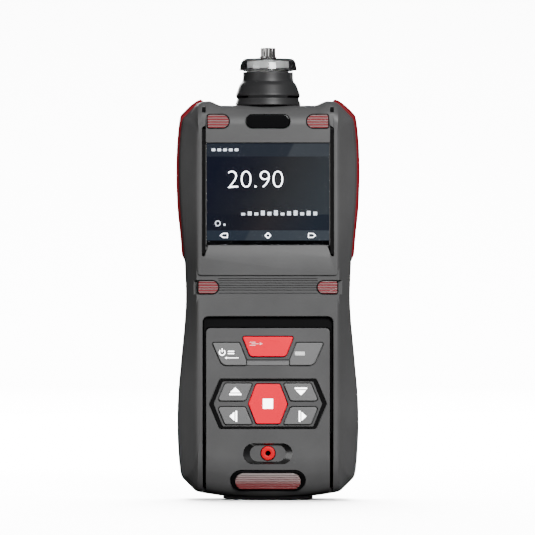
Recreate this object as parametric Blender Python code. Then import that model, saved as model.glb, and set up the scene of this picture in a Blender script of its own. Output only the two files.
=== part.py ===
"""Pumped handheld gas detector, standing upright on its foot.

Metres, +Z up, the screen faces -Y.  The origin is the middle of the flat under the foot.
The case is two tubs that meet on the plane Y = 0.  Everything that a hand can move has its
origin on its own axis of travel.
"""

import math

import bmesh
import bpy
from mathutils import Matrix, Vector

# ---------------------------------------------------------------- driving dimensions
GAP = 0.0003            # play between two pieces that sit together
FACING_BACK = math.radians(-90)     # about X: turns a shape that was made along +Z to face +Y
WALL = 0.0022           # case wall

# Silhouette of the case, seen from the front, as half widths
FOOT_PROUD = 0.0006     # the foot stands this far below the case
BOTTOM_RADIUS = 0.161   # the long arc under the case
BOTTOM_CORNER_X = 0.0326
TOP_Z = 0.1783          # top of the case beside the inlet neck
SHOULDER_Z = 0.1803     # top of the two shoulders
SIDE_STATIONS = [       # (half width, height) up the side, from the lower to the upper corner
    (0.0394, 0.0110), (0.0409, 0.0270), (0.0409, 0.0420), (0.0388, 0.0690), (0.0373, 0.0900),
    (0.0375, 0.1070), (0.0394, 0.1300), (0.0402, 0.1480), (0.0397, 0.1600), (0.0386, 0.1725),
]
SHOULDER_CORNER = (0.0314, 0.1793)
SHOULDER_INNER_X = 0.0270
NECK_DIP_X = 0.0207     # the shoulders have run down to TOP_Z here

# Depths of the case
FACE_Y = 0.0180         # front face, towards -Y
SIDE_Y = 0.0080         # where the front flank meets the side wall
BACK_Y = 0.0180
BACK_SIDE_Y = 0.0110
BACK_TAPER = 0.905      # width of the back face against the width at the seal
RIDGE_X = 0.0316        # edge between the flat face and the flank
BOTTOM_ROLL = 0.0180    # height over which the face rolls back to the bottom
TOP_ROLL = 0.0095
SPLIT = 0.0006          # each tub stops this short of Y = 0, for the seal

# Front face
RAIL_INNER_X = 0.0297   # rails run up both sides, outside a dark groove
CENTRE_X = 0.0279       # half width of the screen and of the key panel
GROOVE_Z = (0.1100, 0.1690)
SCREEN_Z = (0.1148, 0.1616)
LEDGE_BOTTOM_Z = 0.1094
RECESS_Y = -0.0166      # floor of the grooves, of the pad's channel and of the foot of the ledge
BEHIND_FACE_Y = -0.0100     # openings in the front run through to here
BAND_Z = (0.0920, 0.1017)
BAND_DEPTH = 0.0012
BAND_RIBS = 7
WINDOW_Z = 0.1709       # middle height of the windows above the screen
WINDOW_HEIGHT = 0.0060
TOP_LAMP_X = 0.02235
MID_LAMP_X, MID_SLOT_X = 0.0268, 0.0283
MID_LAMP_Z = 0.0962
MID_LAMP_HEIGHT = 0.0056

# Key panel, set into the lower face
PANEL_TOP_Z = 0.0778
PANEL_INSET = 0.0006
PANEL_THICKNESS = 0.0024
OPENING_X = 0.0293
OPENING_TOP_Z = 0.0830
PAD_Z = 0.0437          # middle of the direction pad
PUMP_KEY_Z = 0.0695
BUZZER_Z = 0.0214
BOTTOM_LAMP_Z = 0.0093
BOTTOM_LAMP_TILT = math.radians(22)

# Keys
KEY_FRONT_Y = -0.0184
KEY_LIP = 0.0004
KEY_LIP_Y = (-0.0147, -0.0141)

# Inlet neck and cap, turned about the vertical axis
NECK_BORE = 0.0016
CAP_SEAT_Z = 0.1939
TOP_OF_ALL_Z = 0.2046

# Belt clip
PIN_Y, PIN_Z, PIN_RADIUS = 0.0246, 0.1380, 0.0012
CLIP_HALF_WIDTH = 0.0074

# Case screws: (half distance across, height)
CASE_SCREWS = [(0.0330, 0.0240), (0.0325, 0.1585)]
CLIP_SCREW_Z = (0.1285, 0.1475)

# Inside
EXHAUST = (0.0220, 0, 0.1090)       # hole in the back that the pump blows out of
MANIFOLD_Y = 0.0092
SENSOR_PLACES = [(-0.0115, 0.1565), (0.0115, 0.1565), (-0.0115, 0.1325), (0.0115, 0.1325)]

# Foot

FOOT_X, FOOT_Y = 0.02035, (-0.0095, 0.0150)
FOOT_FLAT = 0.0135      # half the width of the flat that it stands on

# Charge port, low on the back, behind a rubber flap that is hinged along its lower edge
FLAP_HINGE = (0, 0.0175, 0.0085)
FLAP_SIZE = (0.0144, 0.0011, 0.0082)


# ---------------------------------------------------------------- materials
def material(name, colour, roughness, metallic=0.0):
    made = bpy.data.materials.get(name) or bpy.data.materials.new(name)
    made.use_nodes = True
    shader = made.node_tree.nodes["Principled BSDF"]
    shader.inputs["Base Color"].default_value = (*colour, 1.0)
    shader.inputs["Roughness"].default_value = roughness
    shader.inputs["Metallic"].default_value = metallic
    return made


CASE = ("case_plastic", (0.075, 0.076, 0.078), 0.55)
PANEL = ("panel_plastic", (0.110, 0.111, 0.113), 0.50)
BLACK_RUBBER = ("black_rubber", (0.010, 0.010, 0.011), 0.75)
RED_RUBBER = ("red_rubber", (0.300, 0.012, 0.022), 0.60)
KEY_GREY = ("key_grey", (0.230, 0.232, 0.235), 0.55)
KEY_RED = ("key_red", (0.850, 0.055, 0.065), 0.45)
GLASS = ("screen_glass", (0.020, 0.024, 0.034), 0.05)
LAMP = ("lamp_lens", (0.520, 0.300, 0.290), 0.20)
BLACK_WINDOW = ("black_window", (0.004, 0.004, 0.004), 0.10)
CLEAR = ("clear_cap", (0.620, 0.630, 0.640), 0.08)
WHITE_FILTER = ("filter_white", (0.780, 0.780, 0.760), 0.90)
STEEL = ("steel", (0.420, 0.410, 0.400), 0.25, 1.0)
DARK_STEEL = ("dark_steel", (0.080, 0.080, 0.085), 0.35, 1.0)
BOARD = ("circuit_board", (0.010, 0.110, 0.040), 0.40)
BATTERY = ("battery_wrap", (0.020, 0.070, 0.260), 0.35)
SENSOR = ("sensor_shell", (0.500, 0.510, 0.520), 0.40)
BLOCK = ("manifold_plastic", (0.160, 0.165, 0.170), 0.40)
TUBE = ("silicone_tube", (0.620, 0.600, 0.560), 0.50)
DISPLAY = ("display_module", (0.300, 0.310, 0.320), 0.35)


# ---------------------------------------------------------------- making objects
def place(name, bm, finish, at=(0, 0, 0), turn=(0, 0, 0), parent=None):
    """Makes an object of a bmesh whose points are measured from `at`."""
    bmesh.ops.recalc_face_normals(bm, faces=bm.faces)
    mesh = bpy.data.meshes.new(name)
    bm.to_mesh(mesh)
    bm.free()
    made = bpy.data.objects.new(name, mesh)
    bpy.context.scene.collection.objects.link(made)
    if finish:
        mesh.materials.append(material(*finish))
    made.location = at
    made.rotation_euler = turn
    if parent:
        made.parent = parent
        made.location = Vector(at) - parent.location
    mesh.shade_smooth()
    mesh.set_sharp_from_angle(angle=math.radians(35))
    return made


def combine(target, bm, operation, at=(0, 0, 0), turn=(0, 0, 0)):
    """Cuts, joins or intersects the target with a hidden helper."""
    helper = place(f"{target.name}_{operation.lower()}", bm, None, at, turn)
    helper.hide_render = True
    helper.display_type = "WIRE"
    modifier = target.modifiers.new(operation.title(), "BOOLEAN")
    modifier.operation = operation
    modifier.solver = "EXACT"
    modifier.object = helper
    return target


def cut(target, bm, at=(0, 0, 0), turn=(0, 0, 0)):
    return combine(target, bm, "DIFFERENCE", at, turn)


def join(target, bm, at=(0, 0, 0), turn=(0, 0, 0)):
    return combine(target, bm, "UNION", at, turn)


def keep(target, bm, at=(0, 0, 0), turn=(0, 0, 0)):
    return combine(target, bm, "INTERSECT", at, turn)


# ---------------------------------------------------------------- shapes
def spaced(start, end, count):
    """`count` values from start to end, both included."""
    return [start + (end - start) * i / (count - 1) for i in range(count)]


def together(pieces):
    """One bmesh of several that stand apart, each moved to its own place."""
    whole = bmesh.new()
    for bm, at in pieces:
        bmesh.ops.translate(bm, vec=at, verts=bm.verts)
        copies = {v: whole.verts.new(v.co) for v in bm.verts}
        for face in bm.faces:
            whole.faces.new([copies[v] for v in face.verts])
        bm.free()
    return whole


def block(low, high):
    bm = bmesh.new()
    size = Vector(high) - Vector(low)
    middle = (Vector(high) + Vector(low)) / 2
    bmesh.ops.create_cube(bm, size=1, matrix=Matrix.Translation(middle) @ Matrix.Diagonal((*size, 1)))
    return bm


def loft(rings):
    """A closed solid through rings of equal length, capped at both ends."""
    bm = bmesh.new()
    rows = [[bm.verts.new(p) for p in ring] for ring in rings]
    for lower, upper in zip(rows, rows[1:]):
        for i in range(len(lower)):
            j = (i + 1) % len(lower)
            bm.faces.new((lower[i], lower[j], upper[j], upper[i]))
    bm.faces.new(rows[0])
    bm.faces.new(rows[-1])
    return flat_faced(bm)


def flat_faced(bm):
    """Splits the twisted quads, so that every face is truly flat."""
    twisted = []
    for face in bm.faces:
        corners = [v.co for v in face.verts]
        if len(corners) == 4:
            normal = (corners[1] - corners[0]).cross(corners[2] - corners[0])
            if normal.length > 0 and abs(normal.normalized().dot(corners[3] - corners[0])) > 1e-8:
                twisted.append(face)
    bmesh.ops.triangulate(bm, faces=twisted)
    return bm


def prism(outline, near, far):
    """An (x, z) outline drawn out along Y."""
    return loft([[(x, y, z) for x, z in outline] for y in (near, far)])


def bar(outline, near, far):
    """A (y, z) outline drawn out along X."""
    return loft([[(x, y, z) for y, z in outline] for x in (near, far)])


def turned(profile, steps=40):
    """A closed (radius, z) profile turned about Z."""
    bm = bmesh.new()
    rings = []
    for radius, z in profile:
        if radius < 1e-6:
            rings.append([bm.verts.new((0, 0, z))])
            continue
        angles = [math.tau * i / steps for i in range(steps)]
        rings.append([bm.verts.new((radius * math.cos(a), radius * math.sin(a), z)) for a in angles])
    for one, two in zip(rings, rings[1:] + rings[:1]):
        if len(one) == 1 and len(two) == 1:
            continue
        for i in range(steps):
            j = (i + 1) % steps
            corners = [one[i % len(one)], one[j % len(one)], two[j % len(two)], two[i % len(two)]]
            bm.faces.new(list(dict.fromkeys(corners)))
    return bm


def rod(radius, near, far, axis="Y", steps=14):
    """A plain cylinder along an axis through the origin."""
    bm = turned([(0, near), (radius, near), (radius, far), (0, far)], steps)
    turn = {"X": Matrix.Rotation(math.radians(90), 3, "Y"),
            "Y": Matrix.Rotation(math.radians(-90), 3, "X"),
            "Z": Matrix.Identity(3)}[axis]
    bmesh.ops.transform(bm, matrix=turn.to_4x4(), verts=bm.verts)
    return bm


def rounded(corners, radius, steps=4):
    """The corners of a polygon replaced by arcs. radius is one value, or one for each corner."""
    radii = radius if isinstance(radius, (list, tuple)) else [radius] * len(corners)
    points = []
    for i, r in enumerate(radii):
        here = Vector(corners[i])
        before = (Vector(corners[i - 1]) - here).normalized()
        after = (Vector(corners[(i + 1) % len(corners)]) - here).normalized()
        if r <= 0:
            points.append(tuple(here))
            continue
        half = before.angle(after) / 2
        centre = here + (before + after).normalized() * (r / math.sin(half))
        start = here + before * (r / math.tan(half)) - centre
        end = here + after * (r / math.tan(half)) - centre
        sweep = start.angle_signed(end)
        for k in range(steps + 1):
            points.append(tuple(centre + Matrix.Rotation(-sweep * k / steps, 2) @ start))
    return points


def stadium(width, height, steps=4):
    x, z = width / 2, height / 2
    return rounded([(-x, -z), (x, -z), (x, z), (-x, z)], height / 2 * 0.9999, steps)


def window_outline(width, height, steps=4):
    """Square with small corners at the -X end, half round at the +X end."""
    x, z = width / 2, height / 2
    end = height / 2 * 0.9999
    return rounded([(-x, -z), (x, -z), (x, z), (-x, z)], [0.0008, end, end, 0.0008], steps)


def mirrored(outline):
    return [(-x, z) for x, z in reversed(outline)]


def grown(outline, by):
    """A convex outline with every side moved out by the same distance."""
    area = sum(a[0] * b[1] - b[0] * a[1] for a, b in zip(outline, outline[1:] + outline[:1]))
    side = by * math.copysign(1, area)
    moved = []
    for i, point in enumerate(outline):
        here = Vector(point)
        along_in = (here - Vector(outline[i - 1])).normalized()
        along_out = (Vector(outline[(i + 1) % len(outline)]) - here).normalized()
        normal = Vector((along_in.y + along_out.y, -along_in.x - along_out.x)).normalized()
        reach = side / max(0.3, normal.dot(Vector((along_in.y, -along_in.x))))
        moved.append(tuple(here + normal * reach))
    return moved


def smooth_path(points, steps):
    """A Catmull-Rom curve through the points."""
    ends = [points[0], *points, points[-1]]
    path = []
    for a, b, c, d in zip(ends, ends[1:], ends[2:], ends[3:]):
        a, b, c, d = map(Vector, (a, b, c, d))
        for k in range(steps):
            t = k / steps
            path.append(tuple(0.5 * (2 * b + (c - a) * t + (2 * a - 5 * b + 4 * c - d) * t * t
                                     + (3 * b - a - 3 * c + d) * t ** 3)))
    path.append(tuple(points[-1]))
    return path


# ---------------------------------------------------------------- the case
def bottom_z(x):
    return FOOT_PROUD + x * x / (2 * BOTTOM_RADIUS)


def case_outline():
    """The whole silhouette of the case, from the bottom middle up the right side and back."""
    bottom = [(x, bottom_z(x)) for x in spaced(0, BOTTOM_CORNER_X, 6)]
    side = smooth_path(SIDE_STATIONS, 1)
    fall = [(SHOULDER_INNER_X + (NECK_DIP_X - SHOULDER_INNER_X) * t,
             TOP_Z + (SHOULDER_Z - TOP_Z) * (1 + math.cos(math.pi * t)) / 2) for t in spaced(0, 1, 4)]
    right = bottom + side + [SHOULDER_CORNER] + fall + [(0, TOP_Z)]
    return right + mirrored(right)[1:-1]


def shifted(outline, inset):
    """The silhouette moved in by `inset` all round."""
    bottom, top = FOOT_PROUD, SHOULDER_Z
    shrink = 1 - inset / 0.040
    return [(x * shrink, bottom + inset + (z - bottom) * (top - bottom - 2 * inset) / (top - bottom))
            for x, z in outline]


def half_rings(side, inset=0.0, steps=5):
    """Rings from the face to the parting plane. side is -1 for the front tub, +1 for the rear."""
    face, shoulder = (FACE_Y, SIDE_Y) if side < 0 else (BACK_Y, BACK_SIDE_Y)
    rings = []
    outline = shifted(case_outline(), inset)
    low, high = FOOT_PROUD + inset, SHOULDER_Z - inset
    for turn in spaced(0, math.pi / 2, steps):
        depth = shoulder + (face - inset - shoulder) * math.cos(turn)
        share = (face - inset - depth) / (face - inset - shoulder)
        roll = 1 - math.sin(turn)
        lift, drop = (BOTTOM_ROLL, TOP_ROLL) if side < 0 else (0.0060, 0.0060)
        ring = []
        for x, z in outline:
            height = (z - low) / (high - low)
            ridge = RIDGE_X - inset * 0.55 if side < 0 else abs(x) * BACK_TAPER
            out = abs(x)
            if out > ridge:
                out = ridge + (out - ridge) * share
            rise = lift * roll * (1 - height) - drop * roll * height
            ring.append((math.copysign(out, x), side * depth, z + rise))
        rings.append(ring)
    return rings


def tub(side, outer, inner, edge):
    """One half of the case as an open tub, between two insets, ending at the depth `edge`."""
    outside, inside = half_rings(side, outer), half_rings(side, inner)
    rim = [[(x, side * edge, z) for x, _, z in rings[-1]] for rings in (outside, inside)]
    return loft(outside + rim + inside[::-1])


def band_cutter():
    """The ribbed band across the waist: a cutter whose floor carries the ribs."""
    low, high = BAND_Z
    floor = -FACE_Y + BAND_DEPTH
    pitch = (high - low) / (BAND_RIBS + 1)
    outline = [(-0.025, low), (floor, low)]
    for i in range(BAND_RIBS):
        middle = low + pitch * (i + 1)
        outline += [(floor, middle - 0.28 * pitch), (floor - 0.0005, middle - 0.14 * pitch),
                    (floor - 0.0005, middle + 0.14 * pitch), (floor, middle + 0.28 * pitch)]
    outline += [(floor, high), (-0.025, high)]
    return bar(outline, -0.045, 0.045)


def front_shell():
    shell = place("front_shell", tub(-1, 0, WALL, SPLIT), CASE)
    spots = [(side * x, z) for side in (-1, 1) for x, z in CASE_SCREWS]
    join(shell, together([(rod(0.0023, -0.0127, -0.0012), (x, 0, z)) for x, z in spots]))
    ledge = [(-0.0250, LEDGE_BOTTOM_Z), (-FACE_Y, LEDGE_BOTTOM_Z), (RECESS_Y, SCREEN_Z[0]),
             (RECESS_Y, SCREEN_Z[1]), (-0.0250, SCREEN_Z[1])]
    hole = grown(window_outline(0.0097, WINDOW_HEIGHT), GAP)
    slot = grown(window_outline(0.0120, MID_LAMP_HEIGHT), GAP)
    opening = rounded([(-OPENING_X, -0.01), (OPENING_X, -0.01), (OPENING_X, OPENING_TOP_Z),
                       (-OPENING_X, OPENING_TOP_Z)], [0, 0, 0.0025, 0.0025])
    cuts = [(rod(0.0014, -0.0105, 0.001), (x, 0, z)) for x, z in spots]
    cuts += [(bar(ledge, -CENTRE_X, CENTRE_X), (0, 0, 0)),
             (prism(stadium(0.0204, WINDOW_HEIGHT + 0.0006), -0.03, BEHIND_FACE_Y), (0, 0, WINDOW_Z)),
             (prism(hole, -0.03, BEHIND_FACE_Y), (-TOP_LAMP_X, 0, WINDOW_Z)),
             (prism(mirrored(hole), -0.03, BEHIND_FACE_Y), (TOP_LAMP_X, 0, WINDOW_Z)),
             (prism(opening, -0.03, -0.0090), (0, 0, 0)),
             (band_cutter(), (0, 0, 0)),
             (rod(0.0090, 0.1700, 0.1850, "Z", 24), (0, 0, 0))]
    cut(shell, together(cuts))
    cut(shell, together([
        (block((-CENTRE_X + GAP, -0.0200, SCREEN_Z[0] + GAP),
               (CENTRE_X - GAP, -0.0120, SCREEN_Z[1] - GAP)), (0, 0, 0)),
        (prism(slot, -0.03, -0.0147), (-MID_SLOT_X, 0, MID_LAMP_Z)),
        (prism(mirrored(slot), -0.03, -0.0147), (MID_SLOT_X, 0, MID_LAMP_Z)),
        (foot_pocket(), (0, 0, 0))]))
    groove = block((CENTRE_X * 0.99, -0.03, GROOVE_Z[0]), (RAIL_INNER_X, RECESS_Y, GROOVE_Z[1]))
    other = block((-RAIL_INNER_X, -0.03, GROOVE_Z[0]), (-CENTRE_X * 0.99, RECESS_Y, GROOVE_Z[1]))
    cut(shell, together([(groove, (0, 0, 0)), (other, (0, 0, 0))]))
    return shell


def foot_pocket():
    return block((-FOOT_X - GAP, FOOT_Y[0] - GAP, -0.005), (FOOT_X + GAP, FOOT_Y[1] + GAP, 0.0020))


def stepped(radius, wide, step):
    """A cutter for a screw hole along Y, wide from `step` outwards."""
    profile = [(0, -0.0010), (radius, -0.0010), (radius, step), (wide, step), (wide, 0.0250), (0, 0.0250)]
    bm = turned(profile, 12)
    bmesh.ops.rotate(bm, matrix=Matrix.Rotation(math.radians(-90), 3, "X"), verts=bm.verts)
    return bm


def rear_shell():
    shell = place("rear_shell", tub(1, 0, WALL, SPLIT), CASE)
    cut(shell, foot_pocket())
    half = FLAP_SIZE[0] / 2 + GAP
    low, high = FLAP_HINGE[2] - 0.0008, FLAP_HINGE[2] + FLAP_SIZE[2] + GAP
    cut(shell, block((-half, FLAP_HINGE[1] - FLAP_SIZE[1] / 2 - GAP, low), (half, 0.0250, high)))
    cut(shell, block((-0.0056, 0.0140, 0.0096), (0.0056, 0.0200, 0.0150)))
    spots = [(side * x, z) for side in (-1, 1) for x, z in CASE_SCREWS]
    join(shell, together([(rod(0.0034, 0.0012, 0.0165), (x, 0, z)) for x, z in spots]
                         + [(rod(0.0028, 0.0128, 0.0165), (0, 0, z)) for z in CLIP_SCREW_Z]))
    plate = rounded([(-0.0240, 0.0320), (0.0240, 0.0320), (0.0240, 0.0840), (-0.0240, 0.0840)], 0.0030)
    cut(shell, together([(stepped(0.0015, 0.0029, 0.0152), (x, 0, z)) for x, z in spots]
                        + [(rod(0.0013, 0.0120, 0.0250), (0, 0, z)) for z in CLIP_SCREW_Z]
                        + [(stepped(0.0011, 0.0030, BACK_Y - 0.0008), EXHAUST),
                           (rod(0.0090, 0.1700, 0.1850, "Z", 24), (0, 0, 0)),
                           (prism(plate, BACK_Y - 0.0005, 0.0250), (0, 0, 0))]))
    return shell


def case_seal():
    """A flat rubber ring between the two rims."""
    thin = SPLIT - GAP
    rings = []
    for inset, y in ((GAP, -thin), (WALL - GAP, -thin), (WALL - GAP, thin), (GAP, thin)):
        rings.append([(x, y, z) for x, z in shifted(case_outline(), inset)])
    bm = bmesh.new()
    rows = [[bm.verts.new(p) for p in ring] for ring in rings]
    for one, two in zip(rows, rows[1:] + rows[:1]):
        for i in range(len(one)):
            j = (i + 1) % len(one)
            bm.faces.new((one[i], one[j], two[j], two[i]))
    seal = place("case_seal", bm, BLACK_RUBBER)
    cut(seal, foot_pocket())
    return cut(seal, rod(0.0093, 0.1700, 0.1850, "Z", 24))


def bumper_path():
    """The case's side from the waist over the corner to the shoulder, right side."""
    side = [p for p in smooth_path(SIDE_STATIONS, 4) if p[1] > 0.1080]
    return side + [SHOULDER_CORNER, (0.0290, 0.17955)]


def bumper(name, mirror):
    """A rubber strip on the upper side of the case, with finger ribs."""
    path = bumper_path()
    inner, outer = [], []
    for i, point in enumerate(path):
        before, after = Vector(path[max(i - 1, 0)]), Vector(path[min(i + 1, len(path) - 1)])
        along = (after - before).normalized()
        normal = Vector((along.y, -along.x))
        inner.append(tuple(Vector(point) + normal * GAP))
        outer.append(tuple(Vector(point) + normal * 0.0013))
    outline = outer + inner[::-1]
    if mirror:
        outline = mirrored(outline)
    return place(name, prism(outline, -0.0066, 0.0066), RED_RUBBER)


# ---------------------------------------------------------------- front face pieces
def screen():
    x = CENTRE_X - 2 * GAP
    low, high = SCREEN_Z[0] + 2 * GAP, SCREEN_Z[1] - 2 * GAP
    place("screen_lens", block((-x, -0.0006, (low - high) / 2), (x, 0.0006, (high - low) / 2)),
          GLASS, at=(0, -0.0162, (low + high) / 2))
    module = place("display_module", block((-0.0287, -0.0015, -0.0250), (0.0287, 0.0015, 0.0250)),
                   DISPLAY, at=(0, -0.0137, 0.1382))
    cut(module, block((-0.0262, -0.0200, 0.1165), (0.0262, -0.0149, 0.1602)))


def windows():
    outline = window_outline(0.0097, WINDOW_HEIGHT)
    for name, side in (("lamp_lens_top_left", -1), ("lamp_lens_top_right", 1)):
        shape = outline if side < 0 else mirrored(outline)
        place(name, prism(shape, -0.0182, -0.0145), LAMP, at=(side * TOP_LAMP_X, 0, WINDOW_Z))
    place("infrared_window", prism(stadium(0.0198, WINDOW_HEIGHT), -0.0178, -0.0145),
          BLACK_WINDOW, at=(0, 0, WINDOW_Z))
    outline = window_outline(0.0090, MID_LAMP_HEIGHT)
    for name, side in (("lamp_lens_mid_left", -1), ("lamp_lens_mid_right", 1)):
        shape = outline if side < 0 else mirrored(outline)
        place(name, prism(shape, -0.0178, -0.0150), LAMP, at=(side * MID_LAMP_X, 0, MID_LAMP_Z))


# Outlines of the keys, seen from the front, about the middle of the pad or of the pump key
def arrow_outline(side, up):
    corners = [(-0.0225, 0.0010), (-0.0100, 0.0010), (-0.0066, 0.0096), (-0.0192, 0.0096)]
    shape = rounded(corners, [0.0010, 0.0016, 0.0006, 0.0010], 3)
    if side > 0:
        shape = mirrored(shape)
    return shape if up else [(x, -z) for x, z in reversed(shape)]


def enter_outline():
    corners = [(-0.0089, 0), (-0.0054, -0.0093), (0.0054, -0.0093), (0.0089, 0), (0.0054, 0.0093),
               (-0.0054, 0.0093)]
    return rounded(corners, 0.0009, 3)


def pump_outline():
    corners = [(-0.0080, -0.0045), (0.0080, -0.0045), (0.0116, 0.0046), (-0.0116, 0.0046)]
    return rounded(corners, [0.0020, 0.0020, 0.0006, 0.0006], 3)


def wing_outline(side):
    """The power key (left) and the menu key (right), beside the pump key."""
    corners = [(-0.0248, 0.0020), (-0.0207, -0.0084), (-0.0098, -0.0084), (-0.0098, -0.0062),
               (-0.0128, 0.0020)]
    shape = rounded(corners, [0.0005, 0.0034, 0.0002, 0.0012, 0.0005], 3)
    return mirrored(shape) if side > 0 else shape


def bridge_outline():
    """The fixed strip below the pump key, between the two wing keys."""
    return rounded([(-0.0095, -0.0084), (0.0095, -0.0084), (0.0095, -0.0066), (-0.0095, -0.0066)], 0.0002, 2)


KEYS = [
    ("power_button", wing_outline(-1), PUMP_KEY_Z, KEY_GREY),
    ("pump_button", pump_outline(), PUMP_KEY_Z, KEY_RED),
    ("menu_button", wing_outline(1), PUMP_KEY_Z, KEY_GREY),
    ("up_button", arrow_outline(-1, True), PAD_Z, KEY_GREY),
    ("down_button", arrow_outline(1, True), PAD_Z, KEY_GREY),
    ("left_button", arrow_outline(-1, False), PAD_Z, KEY_GREY),
    ("right_button", arrow_outline(1, False), PAD_Z, KEY_GREY),
    ("enter_button", enter_outline(), PAD_Z, KEY_RED),
]


def middle_of(outline):
    return tuple((min(c) + max(c)) / 2 for c in zip(*outline))


def key(name, outline, z, finish):
    """A cap that stands through the panel, with a lip behind it that stops it from falling out."""
    mx, mz = middle_of(outline)
    shape = [(px - mx, pz - mz) for px, pz in outline]
    lip = grown(shape, KEY_LIP)
    front = grown(shape, -0.0004)
    rings = [(front, KEY_FRONT_Y), (shape, KEY_FRONT_Y + 0.0004), (shape, KEY_LIP_Y[0]), (lip, KEY_LIP_Y[0]),
             (lip, KEY_LIP_Y[1])]
    bm = loft([[(px, y + 0.0160, pz) for px, pz in ring] for ring, y in rings])
    return place(name, bm, finish, at=(mx, -0.0160, z + mz))


def pad_ring(grow):
    corners = [(-0.0264, 0), (-0.0217, -0.0111), (0.0217, -0.0111), (0.0264, 0), (0.0217, 0.0111),
               (-0.0217, 0.0111)]
    return grown(rounded(corners, 0.0012, 2), grow)


def inner_pad_ring():
    corners = [(-0.0245, 0), (-0.0204, -0.0102), (0.0204, -0.0102), (0.0245, 0), (0.0204, 0.0102),
               (-0.0204, 0.0102)]
    return rounded(corners, 0.0010, 2)


def keypad_panel():
    panel = place("keypad_panel", tub(-1, PANEL_INSET, PANEL_INSET + PANEL_THICKNESS, SPLIT), PANEL)
    top = rounded([(-CENTRE_X, -0.01), (CENTRE_X, -0.01), (CENTRE_X, PANEL_TOP_Z), (-CENTRE_X, PANEL_TOP_Z)],
                  [0, 0, 0.0020, 0.0020])
    keep(panel, prism(top, -0.03, -0.0093))
    for _, outline, z, _ in KEYS:
        cut(panel, prism(grown(outline, GAP), -0.03, BEHIND_FACE_Y), at=(0, 0, z))
    ring = prism(pad_ring(GAP), -0.03, RECESS_Y)
    island = prism(grown(inner_pad_ring(), -GAP), -0.04, -0.0100)
    groove = place("pad_groove", ring, None, at=(0, 0, PAD_Z))
    groove.hide_render = True
    groove.display_type = "WIRE"
    cut(groove, island, at=(0, 0, PAD_Z))
    modifier = panel.modifiers.new("Groove", "BOOLEAN")
    modifier.operation = "DIFFERENCE"
    modifier.solver = "EXACT"
    modifier.object = groove
    bowl = [(stadium(0.0240, 0.0110), -0.0190), (stadium(0.0226, 0.0100), -0.0174),
            (stadium(0.0166, 0.0076), -0.0160)]
    cut(panel, loft([[(x, y, z) for x, z in ring] for ring, y in bowl]), at=(0, 0, BUZZER_Z))
    cut(panel, rod(0.0035, -0.03, BEHIND_FACE_Y), at=(0, 0, BUZZER_Z))
    cut(panel, prism(stadium(0.0342, 0.0094), -0.0060, 0.0090), at=(0, -0.0165, BOTTOM_LAMP_Z),
        turn=(BOTTOM_LAMP_TILT, 0, 0))
    return panel


def panel_trim():
    ring = prism(pad_ring(0), -0.0174, -0.0169)
    trim = place("pad_bezel", ring, BLACK_RUBBER, at=(0, 0, PAD_Z))
    cut(trim, prism(inner_pad_ring(), -0.03, BEHIND_FACE_Y), at=(0, 0, PAD_Z))
    profile = [(0.0011, -0.0010), (0.0011, 0.0008), (0.0032, 0.0008), (0.0032, -0.0006), (0.0028, -0.0010)]
    grommet = turned(profile, 20)
    place("buzzer_grommet", grommet, KEY_RED, at=(0, -0.0158, BUZZER_Z), turn=(FACING_BACK, 0, 0))
    surround = place("bottom_lamp_seal", prism(stadium(0.0336, 0.0088), -0.0008, 0.0016), BLACK_RUBBER,
                     at=(0, -0.0150, BOTTOM_LAMP_Z + 0.0004), turn=(BOTTOM_LAMP_TILT, 0, 0))
    cut(surround, prism(stadium(0.0300, 0.0070), -0.0060, 0.0060), at=(0, -0.0150, BOTTOM_LAMP_Z + 0.0004),
        turn=(BOTTOM_LAMP_TILT, 0, 0))
    place("lamp_lens_bottom", prism(stadium(0.0294, 0.0064), -0.0016, 0.0018), LAMP,
          at=(0, -0.0150, BOTTOM_LAMP_Z + 0.0004), turn=(BOTTOM_LAMP_TILT, 0, 0))


def key_mat():
    """Silicone behind the panel: a raised rim that shows round the opening, with a thin floor."""
    mat = place("key_mat", block((-0.0290, -0.0155, 0.0300), (0.0290, -0.0122, 0.0855)), BLACK_RUBBER)
    cut(mat, block((-CENTRE_X - GAP, -0.03, -0.01), (CENTRE_X + GAP, -0.0131, PANEL_TOP_Z + GAP)))
    return mat


# ---------------------------------------------------------------- inside
def main_board():
    board = place("main_board", block((-0.0262, -0.0008, -0.0790), (0.0262, 0.0008, 0.0790)), BOARD,
                  at=(0, -0.0109, 0.0920))
    chips = [(-0.012, 0.050, 0.0120, 0.0120), (0.010, 0.046, 0.0080, 0.0100),
             (0.0, 0.100, 0.0180, 0.0060), (-0.017, 0.108, 0.0060, 0.0060)]
    for x, z, width, height in chips:
        join(board, block((x - width / 2, -0.0105, z - height / 2), (x + width / 2, -0.0090, z + height / 2)))
    lamps = [(-TOP_LAMP_X, WINDOW_Z - 0.0030), (TOP_LAMP_X, WINDOW_Z - 0.0030),
             (-0.0245, MID_LAMP_Z), (0.0245, MID_LAMP_Z)]
    for x, z in lamps:
        join(board, block((x - 0.0016, -0.0132, z - 0.0016), (x + 0.0016, -0.0112, z + 0.0016)))


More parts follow.
